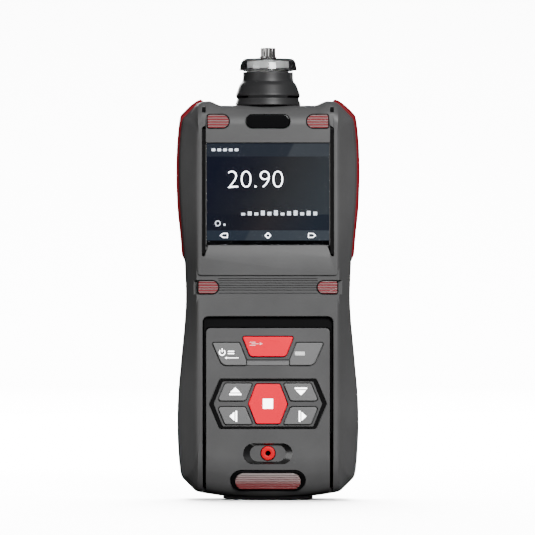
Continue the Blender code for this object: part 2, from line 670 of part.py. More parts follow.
def power_and_sound():
    pack = rounded([(-0.0186, -0.0093), (0.0186, -0.0093), (0.0186, 0.0093), (-0.0186, 0.0093)], 0.0092, 6)
    bm = loft([[(x, y, z) for x, y in pack] for z in (-0.0335, 0.0335)])
    place("battery_pack", bm, BATTERY, at=(0, 0.0054, 0.0520))
    place("buzzer", rod(0.0060, -0.0010, 0.0010, "Y", 28), BLACK_WINDOW, at=(0, -0.0132, BUZZER_Z))
    place("vibration_motor", rod(0.0030, -0.0050, 0.0050, "X", 20), STEEL, at=(-0.0190, 0.0060, 0.1150))
    socket = place("charge_socket", block((-0.0047, -0.0019, -0.0030), (0.0047, 0.0019, 0.0030)), STEEL,
                   at=(0, 0.0130, 0.0123))
    cut(socket, block((-0.0042, 0.0125, 0.0108), (0.0042, 0.0200, 0.0138)))


def pump():
    place("pump_motor", rod(0.0060, -0.0080, 0.0080, "X", 28), STEEL, at=(-0.0110, 0.0040, 0.0980))
    head = place("pump_head", block((-0.0075, -0.0080, -0.0085), (0.0075, 0.0080, 0.0085)), BLOCK,
                 at=(0.0050, 0.0040, 0.0980))
    join(head, rod(0.0016, 0.0060, 0.0100, "Z", 14), at=(0.0080, 0.0040, 0.0980))
    join(head, rod(0.0016, 0.0060, 0.0100, "X", 14), at=(0.0050, 0.0040, 0.1020))


def sensors():
    for number, (x, z) in enumerate(SENSOR_PLACES, 1):
        profile = [(0, -0.0080), (0.0098, -0.0080), (0.0098, 0.0068), (0.0062, 0.0068),
                   (0.0062, 0.0076), (0, 0.0076)]
        place(f"gas_sensor_{number}", turned(profile, 20), SENSOR,
              at=(x, -0.0018, z), turn=(FACING_BACK, 0, 0))
    manifold = place("sensor_manifold", block((-0.0225, -0.0032, -0.0225), (0.0225, 0.0032, 0.0225)), BLOCK,
                     at=(0, MANIFOLD_Y, 0.1445))
    join(manifold, rod(0.0016, 0.0210, 0.0252, "Z", 14), at=(0, MANIFOLD_Y, 0.1445))
    join(manifold, rod(0.0016, -0.0252, -0.0210, "Z", 14), at=(0.0080, MANIFOLD_Y, 0.1445))


def swept(path, radius, steps):
    """A round section carried along a path without twisting."""
    points = [Vector(p) for p in path]
    rings = []
    across = None
    for i, point in enumerate(points):
        along = (points[min(i + 1, len(points) - 1)] - points[max(i - 1, 0)]).normalized()
        if across is None:
            across = along.orthogonal().normalized()
        across = (across - along * across.dot(along)).normalized()
        other = along.cross(across)
        angles = [math.tau * k / steps for k in range(steps)]
        rings.append([tuple(point + (across * math.cos(a) + other * math.sin(a)) * radius) for a in angles])
    return loft(rings)


def hose(name, points):
    """A soft tube along a smooth path."""
    return place(name, swept(smooth_path(points, 2), 0.0013, 8), TUBE)


def hoses():
    hose("inlet_hose", [(0, 0, 0.1757), (0, 0.0006, 0.1746), (0, 0.0030, 0.1731), (0, 0.0062, 0.1727),
                        (0, 0.0086, 0.1719), (0, MANIFOLD_Y, 0.1708), (0, MANIFOLD_Y, 0.1700)])
    hose("pump_hose", [(0.0080, MANIFOLD_Y, 0.1189), (0.0080, MANIFOLD_Y, 0.1178),
                       (0.0080, MANIFOLD_Y - 0.0004, 0.1166), (0.0080, 0.0066, 0.1136),
                       (0.0080, 0.0044, 0.1108), (0.0080, 0.0040, 0.1096), (0.0080, 0.0040, 0.1084)])
    hose("exhaust_hose", [(0.0153, 0.0040, 0.1020), (0.0180, 0.0042, 0.1024), (0.0206, 0.0062, 0.1044),
                          (0.0219, 0.0100, 0.1076), (0.0220, 0.0150, 0.1090)])


# ---------------------------------------------------------------- inlet
def inlet():
    profile = [(NECK_BORE, 0.1762), (0.0026, 0.1762), (0.0026, 0.1772), (0.0086, 0.1772), (0.0086, 0.1786),
               (0.0150, 0.1786), (0.0141, 0.1814), (0.0146, 0.1832), (0.0131, 0.1876),
               (0.0117, 0.1892), (0.01135, 0.1936), (0.0098, 0.1936), (0.0098, 0.1900), (NECK_BORE, 0.1880)]
    neck = place("inlet_neck", turned(profile, 24), CASE)
    for side in (-1, 1):
        across = sorted((side * 0.0092, side * 0.0160))
        cut(neck, block((across[0], -0.02, 0.1818), (across[1], 0.02, 0.1826)))
    sleeve = [(0.0082, 0.1903), (0.0095, 0.1903), (0.0095, 0.1982), (0.0082, 0.1982)]
    place("filter_holder", turned(sleeve, 32), WHITE_FILTER)
    disc = [(0, 0.1930), (0.0079, 0.1930), (0.0079, 0.1950), (0, 0.1950)]
    place("filter_disc", turned(disc, 32), WHITE_FILTER)
    ring = [(0.0108 + 0.0006 * math.cos(a), 0.1946 + 0.0006 * math.sin(a))
            for a in (math.tau * i / 6 for i in range(6))]
    place("inlet_seal", turned(ring, 20), BLACK_RUBBER)
    hub = Vector((0, 0, CAP_SEAT_Z))
    cap_profile = [(0.0024, 0.0048), (0.0118, 0.0048), (0.0120, 0.0006), (0.0131, 0.0006), (0.0130, 0.0014),
                   (0.0124, 0.0044), (0.0114, 0.0058), (0.0024, 0.0058)]
    cap = place("filter_cap", turned(cap_profile, 28), CLEAR, at=hub)
    nozzle = place("inlet_nozzle", nozzle_shape(), DARK_STEEL, at=hub, parent=cap)
    return nozzle


def nozzle_shape(flutes=12, top=TOP_OF_ALL_Z - CAP_SEAT_Z):
    """Hollow spigot: a shank through the cap, a flange and a fluted grip."""
    steps = flutes * 2
    levels = [(0.0020, 0.0036, 0), (0.0020, 0.0061, 0), (0.0039, 0.0061, 0), (0.0039, 0.0068, 0),
              (0.0033, 0.0068, 1), (0.0033, top, 1), (0.0010, top, 0), (0.0010, 0.0036, 0)]
    bm = bmesh.new()
    rows = []
    for radius, z, fluted in levels:
        row = []
        for i in range(steps):
            angle = math.tau * i / steps
            reach = radius + (0.00020 if fluted and i % 2 else 0)
            row.append(bm.verts.new((reach * math.cos(angle), reach * math.sin(angle), z)))
        rows.append(row)
    for one, two in zip(rows, rows[1:] + rows[:1]):
        for i in range(steps):
            j = (i + 1) % steps
            bm.faces.new((one[i], one[j], two[j], two[i]))
    return bm


# ---------------------------------------------------------------- belt clip, screws and foot
def belt_clip():
    plate_y = (BACK_Y + GAP, BACK_Y + 0.0015)
    outline = rounded([(-0.0098, 0.1235), (0.0098, 0.1235), (0.0098, 0.1525), (-0.0098, 0.1525)], 0.0015)
    base = place("clip_base", prism(outline, *plate_y), STEEL)
    ear = [(plate_y[0] + 0.0002, 0.1320), (PIN_Y, 0.1352), (PIN_Y + 0.0024, 0.1366), (PIN_Y + 0.0028, PIN_Z),
           (PIN_Y + 0.0024, 0.1394), (PIN_Y, 0.1408), (plate_y[0] + 0.0002, 0.1440)]
    for side in (-1, 1):
        across = sorted((side * 0.0082, side * 0.0097))
        join(base, bar(ear, *across))
    cut(base, rod(PIN_RADIUS + GAP, -0.020, 0.020, "X"), at=(0, PIN_Y, PIN_Z))
    for z in CLIP_SCREW_Z:
        cut(base, rod(0.0015, 0.01, 0.03), at=(0, 0, z))
    pin = place("clip_pin", rod(PIN_RADIUS, -0.0104, 0.0104, "X", 20), STEEL, at=(0, PIN_Y, PIN_Z))
    join(pin, rod(0.0019, -0.0112, -0.0101, "X", 20), at=(0, PIN_Y, PIN_Z))
    spring()
    thick = 0.0012
    bend = [(0.0195 - PIN_Y, -0.0500), (0.0184 - PIN_Y, -0.0480), (0.0184 - PIN_Y, -0.0462),
            (0.0002, -0.0400), (0.0010, -0.0100), (0.0012, 0.0040), (0.0060, 0.0170)]
    back = [(y + thick, z + 0.0002) for y, z in reversed(bend)]
    back[-1] = (bend[0][0] + 0.0008, bend[0][1] - 0.0008)
    lever = place("belt_clip", bar(bend + back, -CLIP_HALF_WIDTH, CLIP_HALF_WIDTH), STEEL,
                  at=(0, PIN_Y, PIN_Z))
    join(lever, rod(0.0022, -CLIP_HALF_WIDTH, CLIP_HALF_WIDTH, "X", 24), at=(0, PIN_Y, PIN_Z))
    cut(lever, rod(PIN_RADIUS + GAP, -0.020, 0.020, "X"), at=(0, PIN_Y, PIN_Z))
    cut(lever, block((-0.0047, 0.010, PIN_Z - 0.0045), (0.0047, 0.040, PIN_Z + 0.0045)))


def spring(turns=5, radius=0.0023, wire=0.00035, steps=9):
    """Torsion spring round the pin, with its two tails."""
    points = [(-0.0036, PIN_Y - 0.0045, PIN_Z - radius)]
    count = turns * steps
    for i in range(count + 1):
        angle = math.tau * turns * i / count
        points.append((-0.0036 + 0.0072 * i / count, PIN_Y - radius * math.sin(angle),
                       PIN_Z - radius * math.cos(angle)))
    points.append((0.0036, PIN_Y - 0.0045, PIN_Z - radius))
    place("clip_spring", swept(points, wire, 5), STEEL)


def screw(name, at, head, shank, length):
    """Pan head with a cross recess. The head's underside is at `at`, the shank runs towards -Y."""
    profile = [(0, -length), (shank, -length), (shank, 0), (head, 0), (head, 0.0010),
               (head * 0.7, 0.0016), (0, 0.0016)]
    made = place(name, turned(profile, 12), DARK_STEEL, at=at, turn=(FACING_BACK, 0, 0))
    arm = head * 0.6
    for turn in (0, math.radians(90)):
        cut(made, block((-arm, -0.0003, 0.0007), (arm, 0.0003, 0.0030)), at=at, turn=(FACING_BACK, turn, 0))
    return made


def screws():
    number = 0
    for x, z in CASE_SCREWS:
        for side in (-1, 1):
            number += 1
            screw(f"case_screw_{number}", (side * x, 0.0155, z), 0.0025, 0.0011, 0.0230)
    for number, z in enumerate(CLIP_SCREW_Z, 1):
        screw(f"clip_screw_{number}", (0, BACK_Y + 0.0018, z), 0.0024, 0.0010, 0.0055)


def foot_bottom(x):
    return max(0.0, (x * x - FOOT_FLAT * FOOT_FLAT) / (2 * BOTTOM_RADIUS))


def foot_and_flap():
    curve = [FOOT_FLAT + (FOOT_X - FOOT_FLAT) * t for t in spaced(0, 1, 5)]
    outline = [(x, foot_bottom(x)) for x in [-c for c in reversed(curve)] + curve]
    outline += [(FOOT_X, 0.0017), (-FOOT_X, 0.0017)]
    place("bottom_foot", prism(outline, *FOOT_Y), BLACK_RUBBER)
    width, thickness, height = FLAP_SIZE
    flap = place("charge_flap", block((-width / 2, -thickness / 2, 0), (width / 2, thickness / 2, height)),
                 BLACK_RUBBER, at=FLAP_HINGE)
    join(flap, block((-0.0050, 0.0152, 0.0102), (0.0050, FLAP_HINGE[1], 0.0142)))


def main():
    for old in list(bpy.data.objects):
        bpy.data.objects.remove(old)
    front_shell()
    rear_shell()
    case_seal()
    bumper("bumper_left", True)
    bumper("bumper_right", False)
    screen()
    windows()
    keypad_panel()
    panel_trim()
    place("key_bridge", prism(bridge_outline(), -0.0178, -0.01745), KEY_GREY, at=(0, 0, PUMP_KEY_Z))
    for entry in KEYS:
        key(*entry)
    key_mat()
    main_board()
    power_and_sound()
    pump()
    sensors()
    hoses()
    inlet()
    belt_clip()
    screws()
    foot_and_flap()


main()
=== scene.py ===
from math import copysign, cos, pi, radians, sin, sqrt, tan, tau

import bmesh
import bpy
from mathutils import Matrix, Vector


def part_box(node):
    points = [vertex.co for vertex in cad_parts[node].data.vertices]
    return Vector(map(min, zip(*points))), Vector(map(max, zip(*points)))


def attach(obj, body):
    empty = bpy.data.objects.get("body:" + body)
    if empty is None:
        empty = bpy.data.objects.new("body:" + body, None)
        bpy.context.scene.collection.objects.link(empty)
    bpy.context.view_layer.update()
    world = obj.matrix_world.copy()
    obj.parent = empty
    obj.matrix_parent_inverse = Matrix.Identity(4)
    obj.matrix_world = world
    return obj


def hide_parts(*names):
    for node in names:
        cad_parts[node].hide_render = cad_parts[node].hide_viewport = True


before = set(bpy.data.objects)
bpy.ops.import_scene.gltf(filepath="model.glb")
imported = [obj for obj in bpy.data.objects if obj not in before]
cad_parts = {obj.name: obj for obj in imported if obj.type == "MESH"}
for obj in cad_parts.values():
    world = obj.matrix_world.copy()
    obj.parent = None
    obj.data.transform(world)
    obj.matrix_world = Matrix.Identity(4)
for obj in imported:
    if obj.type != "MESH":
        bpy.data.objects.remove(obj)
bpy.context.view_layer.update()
unit = 0.001  # sizes below are in millimetres

# places, all read from the parts in model.glb


def boxOf(node):
    low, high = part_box(node)
    return low / unit, high / unit


def centreOf(node):
    low, high = boxOf(node)
    return (low + high) / 2


def sizeOf(node):
    low, high = boxOf(node)
    return high - low


def frontOf(node, radius, steps=6):
    # the node's box seen from the front, with rounded corners
    low, high = boxOf(node)
    return rectangle((low.x, low.z), (high.x, high.z), radius, steps)


# outlines, lofts and cuts


def spaced(start, end, count):
    return [start + (end - start) * i / (count - 1) for i in range(count)]


def rounded(corners, radius, steps=6):
    # every corner of a polygon becomes an arc
    radii = radius if isinstance(radius, (list, tuple)) else [radius] * len(corners)
    points = []
    for i, r in enumerate(radii):
        here = Vector(corners[i])
        back = (Vector(corners[i - 1]) - here).normalized()
        ahead = (Vector(corners[(i + 1) % len(corners)]) - here).normalized()
        if r <= 0:
            points.append(tuple(here))
            continue
        half = back.angle(ahead) / 2
        centre = here + (back + ahead).normalized() * (r / sin(half))
        start = here + back * (r / tan(half)) - centre
        end = here + ahead * (r / tan(half)) - centre
        sweep = start.angle_signed(end)
        for k in range(steps + 1):
            points.append(tuple(centre + Matrix.Rotation(-sweep * k / steps, 2) @ start))
    return points


def rectangle(low, high, radius=0.0, steps=6):
    (left, foot), (right, top) = low, high
    return rounded([(left, foot), (right, foot), (right, top), (left, top)], radius, steps)


def stadium(width, height, steps=10):
    return rectangle((-width / 2, -height / 2), (width / 2, height / 2), height / 2 * 0.999, steps)


def dShape(width, height, side, steps=10):
    # square towards the outside of the case, round towards the middle
    end = height / 2 * 0.999
    shape = rectangle((-width / 2, -height / 2), (width / 2, height / 2), [0.8, end, end, 0.8], steps)
    return shape if side < 0 else mirrored(shape)


def mirrored(outline):
    return [(-x, z) for x, z in reversed(outline)]


def bothSides(outline):
    return outline, mirrored(outline)


def moved(outline, dx, dz):
    return [(x + dx, z + dz) for x, z in outline]


def grown(outline, by):
    # every side of a convex outline moves out by the same distance
    area = sum(a[0] * b[1] - b[0] * a[1] for a, b in zip(outline, outline[1:] + outline[:1]))
    side = by * copysign(1, area)
    result = []
    for i, point in enumerate(outline):
        here = Vector(point)
        before = (here - Vector(outline[i - 1])).normalized()
        after = (Vector(outline[(i + 1) % len(outline)]) - here).normalized()
        normal = Vector((before.y + after.y, -before.x - after.x)).normalized()
        reach = side / max(0.3, normal.dot(Vector((before.y, -before.x))))
        result.append(tuple(here + normal * reach))
    return result


def curveThrough(points, steps):
    ends = [points[0], *points, points[-1]]
    path = []
    for a, b, c, d in zip(ends, ends[1:], ends[2:], ends[3:]):
        a, b, c, d = map(Vector, (a, b, c, d))
        for k in range(steps):
            t = k / steps
            path.append(tuple(0.5 * (2 * b + (c - a) * t + (2 * a - 5 * b + 4 * c - d) * t * t
                                     + (3 * b - a - 3 * c + d) * t ** 3)))
    return path + [tuple(points[-1])]


def bendThrough(start, corner, end, count):
    # one quadratic curve, ends included
    a, b, c = map(Vector, (start, corner, end))
    return [tuple(a * (1 - t) ** 2 + b * 2 * t * (1 - t) + c * t * t) for t in spaced(0, 1, count)]


def loft(rings, closed=False):
    bm = bmesh.new()
    rows = [[bm.verts.new(p) for p in ring] for ring in rings]
    pairs = list(zip(rows, rows[1:]))
    if closed:
        pairs.append((rows[-1], rows[0]))
    for lower, upper in pairs:
        for i in range(len(lower)):
            j = (i + 1) % len(lower)
            bm.faces.new((lower[i], lower[j], upper[j], upper[i]))
    if not closed:
        bm.faces.new(rows[0])
        bm.faces.new(rows[-1])
    bmesh.ops.recalc_face_normals(bm, faces=bm.faces)
    return bm


def stack(rings, closed=False):
    # (x, z) outlines, each at its own y
    return loft([[(x, y, z) for x, z in ring] for ring, y in rings], closed)


def prism(outline, near, far):
    return stack([(outline, near), (outline, far)])


def softRing(outline, front, edge, inward=1, steps=4):
    # the rings of an edge rounded over at the front
    rings = []
    for t in spaced(0, 1, steps + 1):
        turn = t * pi / 2
        back = inward * edge * (1 - cos(turn))
        rings.append((grown(outline, edge * (sin(turn) - 1)), front + back))
    return rings


def slab(outline, near, far, edge=0.2):
    # a plate from y = near (its outer face) to far, with its outer edge rounded over
    return stack(softRing(outline, near, edge, copysign(1, far - near), 3) + [(outline, far)])


def bar(outline, near, far):
    # a (y, z) outline along X
    return loft([[(x, y, z) for y, z in outline] for x in (near, far)])


def cutter(outline, face, floor, edge=0.25):
    # a pocket seen from outside: its rim is chamfered where it meets the face
    out = copysign(1, face - floor)
    wide = grown(outline, 2 * edge)
    lip = out * edge
    return stack([(wide, face + out * 4), (wide, face + lip), (outline, face - lip), (outline, floor)])


def turned(profile, steps=96):
    # a closed (radius, z) profile about Z
    bm = bmesh.new()
    rings = []
    for radius, z in profile:
        count = 1 if radius < 1e-4 else steps
        angles = [tau * i / steps for i in range(count)]
        rings.append([bm.verts.new((radius * cos(a), radius * sin(a), z)) for a in angles])
    for one, two in zip(rings, rings[1:] + rings[:1]):
        if len(one) == 1 and len(two) == 1:
            continue
        for i in range(steps):
            j = (i + 1) % steps
            corners = [one[i % len(one)], one[j % len(one)], two[j % len(two)], two[i % len(two)]]
            bm.faces.new(list(dict.fromkeys(corners)))
    bmesh.ops.recalc_face_normals(bm, faces=bm.faces)
    return bm


def turnTo(bm, way):
    # stands a Z-built shape towards the front or the back
    turn = Matrix.Rotation(radians(90 if way == "front" else -90), 4, "X")
    bmesh.ops.transform(bm, matrix=turn, verts=bm.verts)
    return bm


def shift(bm, place):
    bmesh.ops.translate(bm, vec=place, verts=bm.verts)
    return bm


def together(shapes):
    whole = bmesh.new()
    for bm in shapes:
        copies = {v: whole.verts.new(v.co) for v in bm.verts}
        for face in bm.faces:
            whole.faces.new([copies[v] for v in face.verts])
        bm.free()
    return whole


def rawObject(name, bm):
    bmesh.ops.scale(bm, vec=(unit, unit, unit), verts=bm.verts)
    mesh = bpy.data.meshes.new(name)
    bm.to_mesh(mesh)
    bm.free()
    made = bpy.data.objects.new(name, mesh)
    bpy.context.scene.collection.objects.link(made)
    return made


def bake(piece):
    # turns the piece's modifiers into plain mesh
    bpy.context.view_layer.update()
    result = bpy.data.meshes.new_from_object(piece.evaluated_get(bpy.context.evaluated_depsgraph_get()))
    piece.modifiers.clear()
    piece.data = result


def combine(piece, bm, operation):
    bmesh.ops.triangulate(bm, faces=[f for f in bm.faces if len(f.verts) == 4])
    helper = rawObject("helper", bm)
    change = piece.modifiers.new("cut", "BOOLEAN")
    change.operation = operation
    change.solver = "EXACT"
    change.object = helper
    bake(piece)
    bpy.data.objects.remove(helper)


def cut(piece, *shapes):
    combine(piece, together(shapes), "DIFFERENCE")


def weld(piece, *shapes):
    combine(piece, together(shapes), "UNION")


def keep(piece, bm):
    combine(piece, bm, "INTERSECT")


def finishPiece(piece, finish, slotName=None, *replaced, body="case", sharp=32):
    piece.data.shade_smooth()
    piece.data.set_sharp_from_angle(angle=radians(sharp))
    weigh = piece.modifiers.new("shading", "WEIGHTED_NORMAL")
    weigh.keep_sharp = True
    piece.data.materials.clear()
    piece.data.materials.append(finishes[finish])
    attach(piece, body)
    if replaced:
        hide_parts(*replaced)


# finishes


def shaderOf(finish):
    return finish.node_tree.nodes["Principled BSDF"]


def newFinish(name, colour, roughness, metallic=0.0, **sockets):
    finish = bpy.data.materials.new(name)
    finish.use_nodes = True
    shader = shaderOf(finish)
    shader.inputs["Base Color"].default_value = (*colour, 1)
    shader.inputs["Roughness"].default_value = roughness
    shader.inputs["Metallic"].default_value = metallic
    for socket, value in sockets.items():
        shader.inputs[socket.replace("_", " ")].default_value = value
    return finish


def addNode(owner, kind, **values):
    # underscores in a value's name stand for the spaces in its socket's name
    node = owner.node_tree.nodes.new("ShaderNode" + kind)
    for key, value in values.items():
        socket = key.replace("_", " ")
        if socket in node.inputs:
            node.inputs[socket].default_value = value
        else:
            setattr(node, key, value)
    return node


def feed(source, output, target, socket):
    source.id_data.links.new(source.outputs[output], target.inputs[socket])


def ownPlace(owner, output="Object"):
    # the place on the piece, whole and as X, Y and Z
    where, parts = addNode(owner, "TexCoord"), addNode(owner, "SeparateXYZ")
    feed(where, output, parts, "Vector")
    return where, parts


def noiseOf(finish, scale, detail=3.0, stretch=(1, 1, 1)):
    # noise in the piece's own space, so that it is the same size everywhere
    place = addNode(finish, "Mapping", Scale=stretch)
    feed(addNode(finish, "TexCoord"), "Object", place, "Vector")
    noise = addNode(finish, "TexNoise", Scale=scale, Detail=detail)
    feed(place, "Vector", noise, "Vector")
    return noise


def vary(finish, socket, source, output, *stops):
    # the source drives a socket through a colour ramp
    tones = addNode(finish, "ValToRGB")
    for place, colour in stops[:-2]:
        tones.color_ramp.elements.new(place)
    for element, (place, colour) in zip(tones.color_ramp.elements, stops):
        element.position = place
        element.color = (*colour, 1)
    feed(source, output, tones, "Fac")
    feed(tones, "Color", shaderOf(finish), socket)


def drift(finish, noise, colour, less, more, roughness, duller, glossier, glossNoise=None):
    # colour and gloss wander between two shares of their values
    vary(finish, "Base Color", noise, "Fac", (0.3, [c * less for c in colour]),
         (0.7, [min(1, c * more) for c in colour]))
    vary(finish, "Roughness", glossNoise or noise, "Fac", (0.3, [roughness * duller] * 3),
         (0.7, [min(1, roughness * glossier)] * 3))


def roughen(finish, noise, strength, distance):
    relief = addNode(finish, "Bump", Strength=strength, Distance=distance)
    feed(noise, "Fac", relief, "Height")
    feed(relief, "Normal", shaderOf(finish), "Normal")


def plastic(name, colour, roughness, spread=0.10, grain=2600.0, bump=0.10, shine=0.5):
    # moulded plastic with a spark-eroded grain
    finish = newFinish(name, colour, roughness, Specular_IOR_Level=shine)
    drift(finish, noiseOf(finish, 45.0), colour, 1 - spread, 1 + spread, roughness, 0.93, 1.07)
    roughen(finish, noiseOf(finish, grain, 2.0), bump, 0.00006)
    return finish


def metal(name, colour, roughness, stretch=(1, 1, 1), scale=900.0):
    # worked metal with fine lines drawn out along one direction
    finish = newFinish(name, colour, roughness, 1.0)
    lines = noiseOf(finish, scale, 4.0, stretch)
    drift(finish, noiseOf(finish, 60.0), colour, 0.85, 1.1, roughness, 0.75, 1.3, lines)
    roughen(finish, lines, 0.08, 0.00003)
    return finish


def lit(strength, colour=(1.0, 1.0, 1.0)):
    return {"Emission_Color": (*colour, 1), "Emission_Strength": strength}


def glowing(name, colour, strength):
    return newFinish(name, [c * 0.2 for c in colour], 0.5, Specular_IOR_Level=0.0, **lit(strength, colour))


def ribShadeBands(finish, where, pitch, **values):
    # painted light and shade: a light and a dark band for each rib
    bands = addNode(finish, "TexWave", bands_direction="Z", Scale=1.0 / (pi * pitch * unit), **values)
    feed(where, "Object", bands, "Vector")
    return bands


def lampHighlightFade(name, paleHighlight, red, pitch):
    # a long ribbed lens, red towards its foot, with a painted highlight that turns it pale towards its top,
    # where it faces up, and painted shade as a darker line in each rib
    finish = newFinish(name, paleHighlight, 0.20, Coat_Weight=0.2, Coat_Roughness=0.10, Specular_IOR_Level=0.3)
    where, parts = ownPlace(finish)
    low, high = boxOf("lamp_lens_bottom")
    height = addNode(finish, "MapRange", From_Min=low.z * unit, From_Max=high.z * unit)
    feed(parts, "Z", height, "Value")
    blend = addNode(finish, "Math", operation="MULTIPLY_ADD")
    feed(ribShadeBands(finish, where, pitch, Distortion=0.0), "Fac", blend, 0)
    blend.inputs[1].default_value = 0.30
    feed(height, "Result", blend, 2)
    vary(finish, "Base Color", blend, "Value", (0.25, red), (1.0, paleHighlight))
    return finish


def lampHighlightStripes(name, paleHighlight, red, pitch):
    # clear ribbed lens over a red reflector: red valleys, and pale crests that are painted highlights, in
    # step with the ribs
    finish = newFinish(name, paleHighlight, 0.16, Coat_Weight=0.3, Coat_Roughness=0.08, Specular_IOR_Level=0.4)
    bands = ribShadeBands(finish, addNode(finish, "TexCoord"), pitch, Distortion=0.6, Detail=1.0)
    vary(finish, "Base Color", bands, "Fac", (0.25, red), (0.85, paleHighlight))
    return finish


finishes = {
    "case": plastic("case_plastic", (0.047, 0.047, 0.0475), 0.46, shine=0.2),
    "rear": plastic("rear_plastic", (0.042, 0.042, 0.0425), 0.52, grain=1500.0, bump=0.25, shine=0.2),
    "neck": plastic("neck_plastic", (0.0125, 0.0125, 0.013), 0.46, shine=0.2),
    "panel": plastic("panel_plastic", (0.051, 0.051, 0.0515), 0.46, shine=0.2),
    "key_grey": plastic("key_grey", (0.100, 0.100, 0.101), 0.48, spread=0.04, bump=0.05, shine=0.25),
    "key_red": plastic("key_red", (0.72, 0.0, 0.022), 0.45, spread=0.02, bump=0.04, shine=0.1),
    "black": plastic("black_rubber", (0.0014, 0.0014, 0.0016), 0.60, grain=1200.0, shine=0.05),
    "bumper": plastic("red_rubber", (0.10, 0.001, 0.004), 0.55, grain=1200.0, bump=0.2, shine=0.1),
    "grommet": plastic("grommet_red", (0.46, 0.0, 0.008), 0.40, bump=0.05, shine=0.1),
    "window": newFinish("black_window", (0.003, 0.003, 0.0033), 0.10, Specular_IOR_Level=0.3),
    # painted shade: a near-black glossy finish for the sheet over the buzzer bowl's walls
    "bowlShade": newFinish("bowl_wall_shade", (0.006, 0.006, 0.0062), 0.24, Specular_IOR_Level=0.6),
    "glass": newFinish("screen_glass", (0.92, 0.95, 1.0), 0.01, Transmission_Weight=1.0, IOR=1.45),
    "clear": newFinish("clear_cap", (0.93, 0.94, 0.95), 0.03, Transmission_Weight=1.0, IOR=1.49),
    "filter": plastic("filter_white", (0.80, 0.80, 0.79), 0.85, spread=0.04, grain=5000.0, bump=0.4),
    "nozzle": metal("nozzle_metal", (0.34, 0.335, 0.33), 0.16),
    "steel": metal("clip_steel", (0.55, 0.54, 0.53), 0.30, stretch=(1, 1, 0.03), scale=2400.0),
    "screw": metal("screw_steel", (0.10, 0.10, 0.105), 0.35),
    # painted light: the white key print and the soft menu lines glow with emission, though they are only
    # print
    "ink": newFinish("key_ink", (0.95, 0.95, 0.95), 0.45, **lit(6.0)),
    "inkSoft": newFinish("key_ink_soft", (0.70, 0.70, 0.70), 0.45, **lit(1.0)),
    "inkRose": newFinish("key_ink_rose", (0.95, 0.45, 0.45), 0.45),
    # painted highlights: pale rib crests on the small lamp lenses, and the long lens paler towards its top
    "lamp": lampHighlightStripes("lamp_lens", (0.16, 0.105, 0.102), (0.15, 0.020, 0.025), 1.2),
    "lampLong": lampHighlightFade("lamp_lens_long_painted_light", (0.19, 0.165, 0.16), (0.10, 0.008, 0.010), 0.75),
    "board": plastic("circuit_board", (0.010, 0.110, 0.040), 0.35, spread=0.25),
    "battery": plastic("battery_wrap", (0.020, 0.070, 0.260), 0.30),
    "sensor": plastic("sensor_shell", (0.50, 0.51, 0.52), 0.40),
    "block": plastic("manifold_plastic", (0.16, 0.165, 0.17), 0.40),
    "hose": plastic("silicone_tube", (0.62, 0.60, 0.56), 0.45),
    "display": plastic("display_frame", (0.03, 0.03, 0.032), 0.45),
    "litWhite": glowing("lit_white", (1.0, 1.0, 1.0), 7.0),
    "litSoft": glowing("lit_soft", (0.85, 0.88, 0.92), 2.2),
}
print("finishes made")


# both halves of the case are lofted from one outline

caseShape = {
    "side": [(39.4, 10.8), (40.3, 18.5), (40.85, 27.5), (41.0, 37.0), (40.5, 50.0), (39.65, 59.0),
             (38.85, 68.0), (37.95, 77.0), (37.3, 86.0), (37.1, 92.5), (37.3, 99.5), (37.65, 107.5),
             (38.4, 117.0), (39.4, 128.0), (40.1, 140.0), (40.25, 150.0), (40.0, 160.0), (39.3, 168.0),
             (38.6, 172.4)],
    "bottomRadius": 161.0,
    "bottomLow": 0.6,
    "bottomCorner": 32.6,
    "shoulderInner": 27.0,
    "dip": 20.7,
    "topLow": 178.3,
    "topHigh": 180.3,
    "ridge": 31.6,
    "face": 18.0,
    "flankFoot": 8.0,
    "backTaper": 0.905,
    "backFoot": 11.0,
    "bottomRoll": 18.0,
    "topRoll": 9.5,
    "backRoll": 6.0,
    "wall": 2.2,
    "split": 0.35,
}


def caseOutline():
    shape = caseShape
    bottom = [(x, shape["bottomLow"] + x * x / (2 * shape["bottomRadius"]))
              for x in spaced(0, shape["bottomCorner"] - 2.4, 9)]
    corner = bendThrough((31.4, 3.7), (32.6, 3.9), (33.6, 4.9), 4)
    chamfer = bendThrough((38.4, 9.7), (39.3, 10.7), (39.55, 12.4), 4)
    side = [p for p in curveThrough(shape["side"], 2) if 13 < p[1] < 171]
    turn = bendThrough((39.0, 170.4), (38.6, 172.5), (37.4, 173.6), 5)
    brow = bendThrough((32.8, 178.2), (31.4, 179.6), (29.6, 180.1), 4)
    rise = shape["topHigh"] - shape["topLow"]
    fall = [(shape["shoulderInner"] + (shape["dip"] - shape["shoulderInner"]) * t,
             shape["topLow"] + rise * (1 + cos(pi * t)) / 2) for t in spaced(0, 1, 9)]
    inner = [(x, shape["topLow"]) for x in (14, 7)]
    right = bottom + corner + chamfer + side + turn + brow + fall + inner + [(0, shape["topLow"])]
    return right + mirrored(right)[1:-1]


def insetOutline(outline, inset):
    low, high = caseShape["bottomLow"], caseShape["topHigh"]
    scale = (high - low - 2 * inset) / (high - low)
    return [(x * (1 - inset / 40), low + inset + (z - low) * scale) for x, z in outline]


